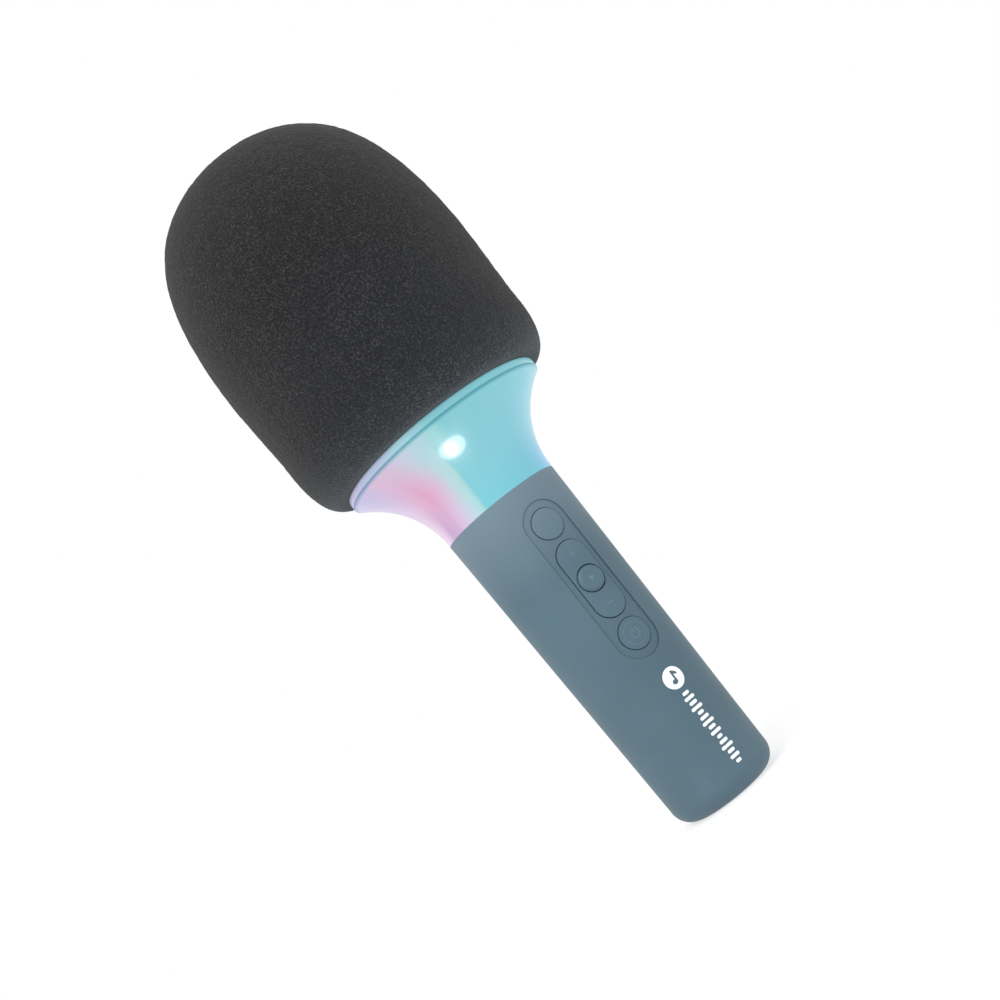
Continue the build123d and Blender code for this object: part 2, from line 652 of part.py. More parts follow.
with BuildPart() as speaker_frame:
    with BuildSketch(Plane.XZ):
        with BuildLine():
            Polyline(
                (6.9, BASKET_BASE_Z),
                (BASKET_BASE_R, BASKET_BASE_Z),
                (BASKET_TOP_R, BASKET_SHOULDER_Z),
                (BASKET_TOP_R, FRAME_Z),
                (24.2, FRAME_Z),
                (24.2, FRAME_Z + 1.0),
                (BASKET_TOP_R - FRAME_WALL, FRAME_Z + 1.0),
                (BASKET_TOP_R - FRAME_WALL, BASKET_SHOULDER_Z),
                (BASKET_BASE_R - FRAME_WALL, BASKET_BASE_Z + FRAME_WALL),
                (6.9, BASKET_BASE_Z + FRAME_WALL),
                close=True,
            )
        make_face()
    revolve(axis=Axis.Z)
    with PolarLocations(HEAD_SCREW_CIRCLE_R, HEAD_SCREW_COUNT, start_angle=45):
        with Locations((0, 0, FRAME_Z)):
            Cylinder(2.1, 1.0, align=BOTTOM)
            Cylinder(PILOT_R + 0.15, 8.0, mode=Mode.SUBTRACT)
    with PolarLocations(17.0, 4):
        with Locations((0, 0, 130.7)):
            Box(9.0, 11.0, 4.9, mode=Mode.SUBTRACT)

with BuildPart() as head_screws:
    with PolarLocations(HEAD_SCREW_CIRCLE_R, HEAD_SCREW_COUNT, start_angle=45):
        with Locations((0, 0, FRAME_Z + 1.0)):
            add_screw(SCREW_R, 6.0, 1.8, 1.2)

with BuildPart() as speaker_top_plate:
    revolve(ring_section(6.85, 12.0, 124.2, BASKET_BASE_Z), Axis.Z)

with BuildPart() as speaker_magnet:
    revolve(ring_section(7.2, 13.5, 119.2, 124.2), Axis.Z)

with BuildPart() as speaker_yoke:
    with Locations((0, 0, 116.7)):
        Cylinder(12.0, 2.5, align=BOTTOM)
        Cylinder(5.75, 9.0, align=BOTTOM)
    fillet(edges().group_by(Axis.Z)[0], 0.6)

with BuildPart() as voice_coil:
    revolve(ring_section(6.0, 6.3, 121.5, 128.6), Axis.Z)
    revolve(ring_section(6.3, 6.6, 122.7, 125.9), Axis.Z)

with BuildPart() as speaker_cone:
    with BuildSketch(Plane.XZ):
        with BuildLine():
            Polyline((6.3, 128.1), (20.0, 134.4), (20.0, 135.0), (6.3, 128.6), close=True)
        make_face()
    revolve(axis=Axis.Z)

DUST_CAP_R = 14.2
DUST_CAP_TOP_Z = 131.6

with BuildPart() as dust_cap:
    with Locations((0, 0, DUST_CAP_TOP_Z - DUST_CAP_R)):
        Sphere(DUST_CAP_R)
        Sphere(DUST_CAP_R - 0.4, mode=Mode.SUBTRACT)
    with Locations((0, 0, DUST_CAP_TOP_Z)):
        Box(30.0, 30.0, 4.4, mode=Mode.INTERSECT)

with BuildPart() as speaker_surround:
    with BuildSketch(Plane.XZ):
        with BuildLine():
            ThreePointArc((20.1, 136.0), (21.1, 137.2), (22.1, 136.0))
            Polyline((22.1, 136.0), (24.2, 136.0), (24.2, 136.4), (22.4, 136.4))
            ThreePointArc((22.4, 136.4), (21.1, 137.6), (19.7, 136.0))
            Polyline((19.7, 136.0), (19.7, 135.1), (20.1, 135.1), (20.1, 136.0))
        make_face()
    revolve(axis=Axis.Z)

with BuildPart() as speaker_spider:
    with BuildSketch(Plane.XZ):
        with BuildLine():
            upper = [(6.4 + step, 127.5 + 0.3 * (step % 2)) for step in range(7)]
            lower = [(r, z - 0.3) for r, z in reversed(upper)]
            Polyline(*upper, *lower, close=True)
        make_face()
    revolve(axis=Axis.Z)

with BuildPart() as speaker_gasket:
    revolve(ring_section(22.9, 24.2, 136.4, 137.2), Axis.Z)

# ---------------------------------------------------------------- capsule on its bridge
BRIDGE_LOW_R = 29.6
CUP_Z = 156.0
CUP_TOP_Z = 164.0
CUP_R = 7.2
CUP_WALL = 1.2
CAPSULE_R = 4.85
BRIDGE_ARM_R = 1.6

with BuildPart() as capsule_bridge:
    revolve(ring_section(28.4, 31.0, HEAD_DECK_Z, HEAD_DECK_Z + 1.6), Axis.Z)
    revolve(ring_section(CUP_R - CUP_WALL, CUP_R, CUP_Z, CUP_TOP_Z), Axis.Z)
    with PolarLocations(BRIDGE_LOW_R, 3, start_angle=90):
        with Locations((0, 0, HEAD_DECK_Z + 1.6)):
            Cylinder(PILOT_R + 0.15, 8.0, mode=Mode.SUBTRACT)
    for angle in (30, 150, 270):
        arm_plane = Plane.XZ.rotated((0, 0, angle))
        with BuildLine(arm_plane, mode=Mode.PRIVATE) as arm:
            FilletPolyline((29.6, 136.0), (28.4, 152.0), (6.6, 160.0), radius=9.0)
        with BuildSketch(Plane(origin=arm.line @ 0, z_dir=arm.line % 0), mode=Mode.PRIVATE) as arm_section:
            Circle(BRIDGE_ARM_R * 0.8)
        sweep(arm_section.sketch, path=arm.line)

with BuildPart() as bridge_screws:
    with PolarLocations(BRIDGE_LOW_R, 3, start_angle=90):
        with Locations((0, 0, HEAD_DECK_Z + 1.6)):
            add_screw(SCREW_R, 3.0, 1.3, 0.9)

with BuildPart() as capsule_boot:
    revolve(ring_section(CAPSULE_R, CUP_R - CUP_WALL, 156.5, 165.0), Axis.Z)
    revolve(ring_section(2.6, CAPSULE_R, 156.5, 157.7), Axis.Z)

with BuildPart() as mic_capsule:
    with Locations((0, 0, 157.7)):
        Cylinder(CAPSULE_R, 6.7, align=BOTTOM)
    with PolarLocations(2.2, 6):
        with Locations((0, 0, 157.7 + 6.7)):
            Cylinder(0.5, 1.0, mode=Mode.SUBTRACT)

# ---------------------------------------------------------------- cage, liner, windscreen
CAGE_BASE_Z = RIM_SEAT_Z
SLOT_TIERS = ((148.0, 14.0), (165.0, 14.0), (182.0, 14.0), (199.0, 12.0), (213.0, 8.0))
SLOTS_PER_TIER = 18

with BuildPart() as grille_cage:
    revolve(
        dome_shell(CAGE_R, CAGE_BASE_Z, CAGE_SHOULDER_Z, CAGE_TOP_Z, CAGE_WALL, CAGE_FULLNESS),
        Axis.Z,
    )
    for tier_z, tier_height in SLOT_TIERS:
        with BuildSketch(Plane.XY.offset(tier_z - tier_height / 2)):
            with PolarLocations(CAGE_R - 6.0, SLOTS_PER_TIER):
                Rectangle(26.0, 6.0)
        extrude(amount=tier_height, mode=Mode.SUBTRACT)
    with BuildSketch(Plane.XY.offset(CAGE_TOP_Z - 8.0)):
        with PolarLocations(7.0, 6):
            Circle(2.6)
        with PolarLocations(14.0, 12, start_angle=15):
            Circle(2.4)
    extrude(amount=10.0, mode=Mode.SUBTRACT)

with BuildPart() as mesh_liner:
    revolve(
        dome_shell(
            CAGE_R - CAGE_WALL - 0.05,
            HEAD_DECK_Z,
            CAGE_SHOULDER_Z,
            CAGE_TOP_Z - CAGE_WALL - 0.05,
            LINER_WALL,
            CAGE_FULLNESS,
        ),
        Axis.Z,
    )

cavity_r = CAGE_R + FOAM_GAP
cavity_top = CAGE_TOP_Z + FOAM_GAP
cavity_rise = cavity_top - CAGE_SHOULDER_Z
foam_rise = FOAM_TOP_Z - FOAM_SHOULDER_Z
heel_rise = FOAM_HEEL_Z - FOAM_BASE_Z
side_third = (FOAM_SHOULDER_Z - FOAM_HEEL_Z) / 3

with BuildPart() as foam_windscreen:
    with BuildSketch(Plane.XZ):
        with BuildLine():
            Line((cavity_r, FOAM_BASE_Z), (FOAM_FOOT_R, FOAM_BASE_Z))
            Bezier(
                (FOAM_FOOT_R, FOAM_BASE_Z),
                (FOAM_FOOT_R + 0.575 * (FOAM_HEEL_R - FOAM_FOOT_R), FOAM_BASE_Z),
                (FOAM_HEEL_R, FOAM_HEEL_Z - 0.575 * heel_rise),
                (FOAM_HEEL_R, FOAM_HEEL_Z),
            )
            Bezier(
                (FOAM_HEEL_R, FOAM_HEEL_Z),
                (FOAM_HEEL_R, FOAM_HEEL_Z + side_third),
                (FOAM_R, FOAM_SHOULDER_Z - side_third),
                (FOAM_R, FOAM_SHOULDER_Z),
            )
            Bezier(
                (FOAM_R, FOAM_SHOULDER_Z),
                (FOAM_R, FOAM_SHOULDER_Z + FOAM_FULLNESS * foam_rise),
                (FOAM_FULLNESS * FOAM_R, FOAM_TOP_Z),
                (0, FOAM_TOP_Z),
            )
            Line((0, FOAM_TOP_Z), (0, cavity_top))
            Bezier(
                (0, cavity_top),
                (CAGE_FULLNESS * cavity_r, cavity_top),
                (cavity_r, CAGE_SHOULDER_Z + CAGE_FULLNESS * cavity_rise),
                (cavity_r, CAGE_SHOULDER_Z),
            )
            Line((cavity_r, CAGE_SHOULDER_Z), (cavity_r, FOAM_BASE_Z))
        make_face()
    revolve(axis=Axis.Z)

# ---------------------------------------------------------------- internal wiring
WIRE_R = 0.55
PLUG_X = 9.4
PORT_Z = 103.0


def side_run(port_x, port_y, side_y, plug_z):
    """Route from the wire port, down the left side of the battery, to a plug on the board."""
    return [
        (port_x, port_y, PORT_Z),
        (port_x - 1.0, port_y - 0.2, 97.0),
        (-10.4, side_y + 0.9, 87.5),
        (-12.1, side_y, 78.0),
        (-12.4, side_y - 0.5, 62.0),
        (-12.2, side_y - 1.2, plug_z + 13.0),
        (-11.5, -8.1, plug_z + 3.5),
        (-PLUG_X, -9.8, plug_z),
    ]


with BuildPart() as battery_leads:
    add_wire(
        [
            (12.2, 6.2, 14.2),
            (12.6, 3.4, 24.0),
            (12.4, -2.0, 33.0),
            (11.6, -8.2, 39.0),
            (PLUG_X, -9.7, BATTERY_PLUG_Z - 1.0),
        ],
        WIRE_R,
    )
    add_wire(
        [
            (12.3, 6.2, 78.5),
            (13.2, 2.2, 70.0),
            (12.9, -3.4, 58.0),
            (11.8, -8.2, 49.0),
            (PLUG_X, -9.9, BATTERY_PLUG_Z + 1.3),
        ],
        WIRE_R,
    )

with BuildPart() as speaker_leads:
    for side, side_y, plug_z in ((1, 0.4, 30.0), (-1, 2.1, 28.0)):
        neck_run = [
            (side * 16.4, -5.9, 127.0),
            (side * 14.9, -5.4, 118.5),
            (side * 9.0, -1.5, 111.0),
            (side * 2.4, 5.6, 107.6),
        ]
        add_wire(neck_run + side_run(side * 1.6, 6.2, side_y, plug_z), WIRE_R)

with BuildPart() as light_lead:
    neck_run = [(0, 21.3, 127.2), (0, 18.0, 126.4), (0.4, 16.0, 118.0), (0, 9.6, 111.0)]
    add_wire(neck_run + side_run(0, 4.2, -1.4, 37.0), WIRE_R)

with BuildPart() as mic_lead:
    neck_run = [
        (0, 0, 157.4),
        (1.0, 0, 150.5),
        (13.0, 0, 145.5),
        (25.0, 0, 142.0),
        (MIC_PORT_R, 0, 135.6),
        (25.4, 0, 132.4),
        (18.6, 0, 132.3),
        (17.9, 0, 126.5),
        (15.8, 0.6, 118.6),
        (11.0, 3.6, 112.0),
        (2.6, 8.0, 108.6),
    ]
    add_wire(neck_run + side_run(0, 8.3, 3.8, 21.0), WIRE_R)

pieces = {
    "grip_sleeve": grip_sleeve,
    "key_panel": key_panel,
    "mode_key": mode_key,
    "power_key": power_key,
    "play_key": play_key,
    "volume_rocker": volume_rocker,
    "switch_housings": switch_housings,
    "mode_plunger": mode_plunger,
    "play_plunger": play_plunger,
    "power_plunger": power_plunger,
    "volume_plungers": volume_plungers,
    "key_bracket": key_bracket,
    "main_board": main_board,
    "board_screws": board_screws,
    "board_chips": board_chips,
    "wire_connectors": wire_connectors,
    "usb_socket": usb_socket,
    "chassis": chassis,
    "battery_cell": battery_cell,
    "battery_tabs": battery_tabs,
    "battery_clip": battery_clip,
    "battery_leads": battery_leads,
    "speaker_leads": speaker_leads,
    "light_lead": light_lead,
    "mic_lead": mic_lead,
    "light_collar": light_collar,
    "rim_ring": rim_ring,
    "neck_core": neck_core,
    "neck_screws": neck_screws,
    "led_board": led_board,
    "led_emitters": led_emitters,
    "led_board_screws": led_board_screws,
    "head_deck": head_deck,
    "head_screws": head_screws,
    "speaker_frame": speaker_frame,
    "speaker_top_plate": speaker_top_plate,
    "speaker_magnet": speaker_magnet,
    "speaker_yoke": speaker_yoke,
    "voice_coil": voice_coil,
    "speaker_cone": speaker_cone,
    "dust_cap": dust_cap,
    "speaker_surround": speaker_surround,
    "speaker_spider": speaker_spider,
    "speaker_gasket": speaker_gasket,
    "capsule_bridge": capsule_bridge,
    "bridge_screws": bridge_screws,
    "capsule_boot": capsule_boot,
    "mic_capsule": mic_capsule,
    "grille_cage": grille_cage,
    "mesh_liner": mesh_liner,
    "foam_windscreen": foam_windscreen,
}

for label, piece in pieces.items():
    piece.part.label = label
    export_step(piece.part, f"parts/{label}.step")
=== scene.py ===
import json
import math

import bpy
import numpy as np
from mathutils import Matrix, Vector
from mathutils.bvhtree import BVHTree
from mathutils.geometry import delaunay_2d_cdt


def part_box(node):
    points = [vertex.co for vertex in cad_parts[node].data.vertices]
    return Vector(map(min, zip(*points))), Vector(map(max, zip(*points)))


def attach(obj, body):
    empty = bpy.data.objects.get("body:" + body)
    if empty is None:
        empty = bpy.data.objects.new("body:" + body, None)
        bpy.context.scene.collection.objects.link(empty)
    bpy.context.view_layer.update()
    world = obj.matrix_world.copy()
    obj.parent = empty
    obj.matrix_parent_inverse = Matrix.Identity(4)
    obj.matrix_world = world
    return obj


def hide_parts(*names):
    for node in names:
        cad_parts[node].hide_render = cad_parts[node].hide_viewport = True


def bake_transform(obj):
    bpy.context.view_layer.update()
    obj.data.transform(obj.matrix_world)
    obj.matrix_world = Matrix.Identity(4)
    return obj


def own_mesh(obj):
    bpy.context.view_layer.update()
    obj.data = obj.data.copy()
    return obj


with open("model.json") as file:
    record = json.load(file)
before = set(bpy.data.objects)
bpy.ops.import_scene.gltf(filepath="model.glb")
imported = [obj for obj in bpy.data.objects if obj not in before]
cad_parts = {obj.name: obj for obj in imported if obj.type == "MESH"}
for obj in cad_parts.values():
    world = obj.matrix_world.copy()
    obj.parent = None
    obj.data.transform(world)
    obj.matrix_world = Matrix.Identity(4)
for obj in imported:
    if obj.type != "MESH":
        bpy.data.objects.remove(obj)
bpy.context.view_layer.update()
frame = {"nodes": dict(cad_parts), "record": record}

MM = 0.001
SEED = 7

# ---------------------------------------------------------------- places read from the frame
GRIP_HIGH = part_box("grip_sleeve")[1]
COLLAR_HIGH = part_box("light_collar")[1]
FOAM_LOW, FOAM_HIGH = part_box("foam_windscreen")
CAGE_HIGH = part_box("grille_cage")[1]
RIM_LOW, RIM_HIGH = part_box("rim_ring")

GRIP_HEIGHT = GRIP_HIGH.z
GRIP_TOP_R = GRIP_HIGH.x
GRIP_TAPER = 2.3 * MM
GRIP_BASE_R = GRIP_TOP_R - GRIP_TAPER
FOAM_R = FOAM_HIGH.x
FOAM_TOP = FOAM_HIGH.z
CAGE_R = CAGE_HIGH.x
CAGE_TOP = CAGE_HIGH.z


def grip_r(z):
    """Outer radius of the grip at a height."""
    return GRIP_BASE_R + (GRIP_TOP_R - GRIP_BASE_R) * z / GRIP_HEIGHT


# ---------------------------------------------------------------- node helpers
class Nodes:
    """A material under construction, with short calls for the nodes used here."""

    def __init__(self, name):
        self.material = bpy.data.materials.new(name)
        self.material.use_nodes = True
        self.tree = self.material.node_tree
        self.shader = self.tree.nodes["Principled BSDF"]
        self.coords = self.tree.nodes.new("ShaderNodeTexCoord").outputs["Object"]

    def node(self, kind, **settings):
        made = self.tree.nodes.new(kind)
        for key, value in settings.items():
            setattr(made, key, value)
        return made

    def link(self, source, target):
        self.tree.links.new(source, target)

    def put(self, socket, value):
        if isinstance(value, bpy.types.NodeSocket):
            self.link(value, socket)
        else:
            socket.default_value = value

    def noise(self, scale, detail=2.0, roughness=0.5, vector=None):
        made = self.node("ShaderNodeTexNoise")
        made.inputs["Scale"].default_value = scale
        made.inputs["Detail"].default_value = detail
        made.inputs["Roughness"].default_value = roughness
        self.link(vector or self.coords, made.inputs["Vector"])
        return made.outputs["Fac"]

    def voronoi(self, scale):
        made = self.node("ShaderNodeTexVoronoi")
        made.inputs["Scale"].default_value = scale
        self.link(self.coords, made.inputs["Vector"])
        return made.outputs["Distance"]

    def math(self, operation, a, b=0.0):
        made = self.node("ShaderNodeMath", operation=operation)
        self.put(made.inputs[0], a)
        self.put(made.inputs[1], b)
        return made.outputs[0]

    def span(self, value, low, high, to_low=0.0, to_high=1.0):
        made = self.node("ShaderNodeMapRange")
        self.link(value, made.inputs["Value"])
        made.inputs["From Min"].default_value = low
        made.inputs["From Max"].default_value = high
        made.inputs["To Min"].default_value = to_low
        made.inputs["To Max"].default_value = to_high
        return made.outputs[0]

    def mix(self, factor, a, b, blend_type="MIX"):
        made = self.node("ShaderNodeMix", data_type="RGBA", blend_type=blend_type)
        self.put(made.inputs["Factor"], factor)
        self.put(made.inputs["A"], a)
        self.put(made.inputs["B"], b)
        return made.outputs["Result"]

    def ramp(self, factor, stops, interpolation="EASE"):
        made = self.node("ShaderNodeValToRGB")
        made.color_ramp.interpolation = interpolation
        elements = made.color_ramp.elements
        while len(elements) < len(stops):
            elements.new(0.5)
        for element, (place, colour) in zip(elements, stops):
            element.position = place
            element.color = colour
        self.link(factor, made.inputs["Fac"])
        return made.outputs["Color"]

    def axes(self):
        made = self.node("ShaderNodeSeparateXYZ")
        self.link(self.coords, made.inputs[0])
        return made.outputs

    def bump(self, height, distance, strength=1.0):
        made = self.node("ShaderNodeBump")
        made.inputs["Strength"].default_value = strength
        made.inputs["Distance"].default_value = distance
        self.link(height, made.inputs["Height"])
        return made.outputs["Normal"]

    def set(self, **sockets):
        for name, value in sockets.items():
            self.put(self.shader.inputs[name.replace("_", " ")], value)


def rgb(red, green, blue):
    """Linear colour, with alpha, from sRGB values of 0 to 255."""
    parts = [value / 255 for value in (red, green, blue)]
    linear = [p / 12.92 if p <= 0.04045 else ((p + 0.055) / 1.055) ** 2.4 for p in parts]
    return (*linear, 1.0)


def dress(node, material):
    """Gives a CAD node a material in place of its plain one."""
    mesh = frame["nodes"][node].data
    mesh.materials.clear()
    mesh.materials.append(material)


# ---------------------------------------------------------------- materials
def soft_plastic(name, colour, light=1.12, dark=0.9, grain=0.00004):
    """Soft-touch moulded plastic: fine spark-eroded grain, faint handling marks."""
    m = Nodes(name)
    shade = m.noise(38.0, 3.0, 0.55)
    smudge = m.noise(140.0, 4.0, 0.6)
    low = tuple(c * dark for c in colour[:3]) + (1.0,)
    high = tuple(min(1.0, c * light) for c in colour[:3]) + (1.0,)
    base = m.mix(m.span(shade, 0.3, 0.7), low, high)
    lifted = tuple(min(1.0, c * 1.25 + 0.01) for c in colour[:3]) + (1.0,)
    base = m.mix(m.span(smudge, 0.55, 0.8, 0.0, 0.25), base, lifted)
    grains = m.noise(5200.0, 2.0, 0.5)
    speck = m.voronoi(3400.0)
    relief = m.math("ADD", grains, m.math("MULTIPLY", speck, 0.4))
    m.set(
        Base_Color=base,
        Roughness=m.span(smudge, 0.3, 0.75, 0.46, 0.62),
        Normal=m.bump(relief, grain, 0.55),
        Coat_Weight=0.06,
        Coat_Roughness=0.5,
    )
    return m.material


def grip_plastic(name, tone):
    """The grip's soft-touch coat, with painted light from the lit collar making it a little lighter towards
    the top.
    """
    m = Nodes(name)
    z = m.axes()["Z"]
    shade = m.noise(30.0, 3.0, 0.5)
    smudge = m.noise(120.0, 4.0, 0.6)
    body = m.mix(m.span(shade, 0.3, 0.7), rgb(66, 93, 106), rgb(74, 101, 114))
    # painted light: the top of the grip is lightened as if lit by the glowing collar
    base = m.mix(m.span(z, 0.74 * GRIP_HEIGHT, GRIP_HEIGHT), body, rgb(100, 121, 134))
    base = m.mix(m.span(smudge, 0.58, 0.85, 0.0, 0.2), base, rgb(96, 120, 132))
    base = m.mix(1.0, base, (tone, tone, tone, 1.0), "MULTIPLY")
    grains = m.noise(4800.0, 2.0, 0.5)
    speck = m.voronoi(3000.0)
    relief = m.math("ADD", grains, m.math("MULTIPLY", speck, 0.4))
    m.set(
        Base_Color=base,
        Roughness=m.span(smudge, 0.3, 0.75, 0.5, 0.64),
        Normal=m.bump(relief, 0.00004, 0.5),
        Coat_Weight=0.05,
        Coat_Roughness=0.55,
    )
    return m.material


def angle_turn(m):
    """Angle about the microphone's axis as 0 to 1, drifting a little like light in milky plastic."""
    axes = m.axes()
    angle = m.math("ARCTAN2", axes["Y"], axes["X"])
    drift = m.noise(70.0, 2.0, 0.5)
    return m.math("ADD", m.math("DIVIDE", angle, 2 * math.pi), m.span(drift, 0.2, 0.8, 0.495, 0.505))


COLLAR_LOW_HUES = [
    (0.000, rgb(228, 198, 228)),
    (0.037, rgb(200, 164, 206)),
    (0.062, rgb(206, 172, 211)),
    (0.085, rgb(214, 190, 222)),
    (0.114, rgb(200, 208, 226)),
    (0.142, rgb(178, 217, 221)),
    (0.154, rgb(164, 216, 213)),
    (0.159, rgb(124, 203, 217)),
    (0.300, rgb(124, 202, 219)),
    (0.397, rgb(140, 206, 244)),
    (0.560, rgb(158, 188, 240)),
    (0.700, rgb(186, 178, 234)),
    (0.880, rgb(204, 180, 226)),
    (0.985, rgb(234, 206, 235)),
    (1.000, rgb(228, 198, 228)),
]
COLLAR_MIDDLE_HUES = [
    (0.000, rgb(226, 200, 230)),
    (0.015, rgb(226, 194, 224)),
    (0.050, rgb(228, 179, 209)),
    (0.074, rgb(225, 168, 203)),
    (0.094, rgb(227, 179, 211)),
    (0.112, rgb(220, 192, 217)),
    (0.124, rgb(204, 206, 223)),
    (0.139, rgb(187, 219, 225)),
    (0.156, rgb(175, 220, 221)),
    (0.165, rgb(134, 207, 218)),
    (0.300, rgb(138, 210, 225)),
    (0.378, rgb(150, 214, 232)),
    (0.560, rgb(158, 192, 240)),
    (0.700, rgb(186, 178, 234)),
    (0.880, rgb(204, 180, 226)),
    (1.000, rgb(226, 200, 230)),
]
COLLAR_HIGH_HUES = [
    (0.000, rgb(198, 190, 230)),
    (0.025, rgb(206, 191, 230)),
    (0.059, rgb(224, 191, 222)),
    (0.091, rgb(220, 196, 222)),
    (0.119, rgb(204, 212, 229)),
    (0.148, rgb(184, 220, 231)),
    (0.176, rgb(164, 222, 226)),
    (0.197, rgb(136, 209, 218)),
    (0.430, rgb(138, 212, 228)),
    (0.600, rgb(160, 196, 240)),
    (0.800, rgb(192, 180, 232)),
    (1.000, rgb(198, 190, 230)),
]
RIM_HUES = [
    (0.000, rgb(206, 200, 236)),
    (0.090, rgb(196, 212, 240)),
    (0.135, rgb(178, 226, 238)),
    (0.190, rgb(142, 216, 228)),
    (0.430, rgb(148, 220, 232)),
    (0.600, rgb(160, 196, 240)),
    (0.800, rgb(184, 180, 232)),
    (1.000, rgb(206, 200, 236)),
]


def lit_plastic():
    """Milky glossy plastic with coloured light inside, its hue changing round and up the collar."""
    m = Nodes("lit_collar")
    turn = angle_turn(m)
    z = m.axes()["Z"]
    low = m.ramp(turn, COLLAR_LOW_HUES)
    middle = m.ramp(turn, COLLAR_MIDDLE_HUES)
    high = m.ramp(turn, COLLAR_HIGH_HUES)
    rim = m.ramp(turn, RIM_HUES)
    rise = COLLAR_HIGH.z - GRIP_HEIGHT
    colour = m.mix(m.span(z, GRIP_HEIGHT + 0.08 * rise, GRIP_HEIGHT + 0.5 * rise), low, middle)
    colour = m.mix(m.span(z, GRIP_HEIGHT + 0.55 * rise, GRIP_HEIGHT + 0.93 * rise), colour, high)
    colour = m.mix(m.span(z, RIM_LOW.z - 0.8 * MM, RIM_LOW.z + 0.6 * MM), colour, rim)
    # painted shade: a darker teal line along the groove where the collar meets the rim ring
    from_groove = m.math("ABSOLUTE", m.math("SUBTRACT", z, RIM_LOW.z + 0.1 * MM))
    painted_groove_shade = m.mix(1.0, colour, rgb(182, 218, 222), "MULTIPLY")
    colour = m.mix(m.span(from_groove, 0.25 * MM, 0.75 * MM), painted_groove_shade, colour)
    ripple = m.noise(420.0, 2.0, 0.5)
    m.set(
        Base_Color=m.mix(1.0, colour, rgb(190, 190, 190), "MULTIPLY"),
        Roughness=m.span(ripple, 0.3, 0.7, 0.3, 0.36),
        IOR=1.5,
        Specular_IOR_Level=0.15,
        Coat_Weight=0.35,
        Coat_Roughness=0.1,
        Emission_Color=colour,
        Emission_Strength=0.36,
        Normal=m.bump(ripple, 0.00002, 0.3),
    )
    return m.material


def foam_material():
    """Open-cell charcoal foam: dark pores between struts that catch the light."""
    m = Nodes("open_cell_foam")
    cells = m.voronoi(1700.0)
    fine = m.noise(1800.0, 2.0, 0.55)
    clusters = m.noise(330.0, 2.0, 0.5)
    patches = m.noise(60.0, 3.0, 0.5)
    height = m.axes()["Z"]
    pore = m.math("ADD", m.math("MULTIPLY", cells, 0.3), m.math("MULTIPLY", fine, 0.85))
    pore = m.math("ADD", pore, m.math("MULTIPLY", clusters, 0.1))
    base = m.ramp(
        pore,
        [
            (0.42, rgb(14, 14, 15)),
            (0.55, rgb(24, 24, 25)),
            (0.65, rgb(32, 32, 33)),
            (0.82, rgb(61, 60, 60)),
        ],
        "LINEAR",
    )
    # painted light: a bluish cast towards the foam's base, standing for the lit collar's glow on it
    painted_collar_cast = m.span(height, FOAM_LOW.z, 0.25 * FOAM_LOW.z + 0.75 * FOAM_TOP, 0.4, 0.0)
    base = m.mix(painted_collar_cast, base, rgb(26, 27, 31))
    # painted light: the upper half of the foam is lightened towards the top, as if lit from above
    painted_top_light = m.span(height, 0.5 * (FOAM_LOW.z + FOAM_TOP), FOAM_TOP, 0.0, 0.4)
    base = m.mix(painted_top_light, base, rgb(46, 46, 46))
    base = m.mix(m.span(patches, 0.35, 0.7, 0.0, 0.3), base, rgb(25, 26, 29))
    m.set(
        Base_Color=base,
        Roughness=0.95,
        Specular_IOR_Level=0.1,
        Sheen_Weight=0.08,
        Sheen_Roughness=0.6,
        Normal=m.bump(pore, 0.0005, 0.8),
    )
    return m.material


def print_ink(name, fresh, worn):
    """Slightly worn pad print."""
    m = Nodes(name)
    wear = m.noise(2500.0, 3.0, 0.6)
    m.set(
        Base_Color=m.mix(m.span(wear, 0.55, 0.8, 0.0, 0.35), fresh, worn),
        Roughness=m.span(wear, 0.3, 0.7, 0.45, 0.6),
        Normal=m.bump(wear, 0.00002, 0.4),
    )
    return m.material


def brushed_metal(name, colour):
    """Stamped steel with fine brushing and a few dull patches."""
    m = Nodes(name)
    stretch = m.node("ShaderNodeMapping")
    stretch.inputs["Scale"].default_value = (1.0, 1.0, 14.0)
    m.link(m.coords, stretch.inputs["Vector"])
    lines = m.noise(900.0, 3.0, 0.6, stretch.outputs[0])
    patches = m.noise(160.0, 3.0, 0.5)
    dull = tuple(c * 0.75 for c in colour[:3]) + (1.0,)
    m.set(
        Base_Color=m.mix(m.span(patches, 0.35, 0.7, 0.0, 0.6), colour, dull),
        Metallic=1.0,
        Roughness=m.span(lines, 0.3, 0.7, 0.24, 0.42),
        Normal=m.bump(lines, 0.00003, 0.4),
    )
    return m.material


def board_material():
    """Green solder mask over copper traces."""
    m = Nodes("solder_mask")
    traces = m.node("ShaderNodeTexBrick")
    traces.inputs["Scale"].default_value = 420.0
    traces.inputs["Mortar Size"].default_value = 0.012
    traces.inputs["Color1"].default_value = rgb(22, 92, 60)
    traces.inputs["Color2"].default_value = rgb(26, 102, 66)
    traces.inputs["Mortar"].default_value = rgb(44, 132, 84)
    turned = m.node("ShaderNodeMapping")
    turned.inputs["Rotation"].default_value = (math.radians(90), 0, 0)
    m.link(m.coords, turned.inputs["Vector"])
    m.link(turned.outputs[0], traces.inputs["Vector"])
    blotch = m.noise(300.0, 2.0, 0.5)
    m.set(
        Base_Color=m.mix(m.span(blotch, 0.4, 0.7, 0.0, 0.3), traces.outputs["Color"], rgb(18, 78, 52)),
        Roughness=0.35,
        Normal=m.bump(traces.outputs["Fac"], 0.00003, 0.5),
    )
    return m.material


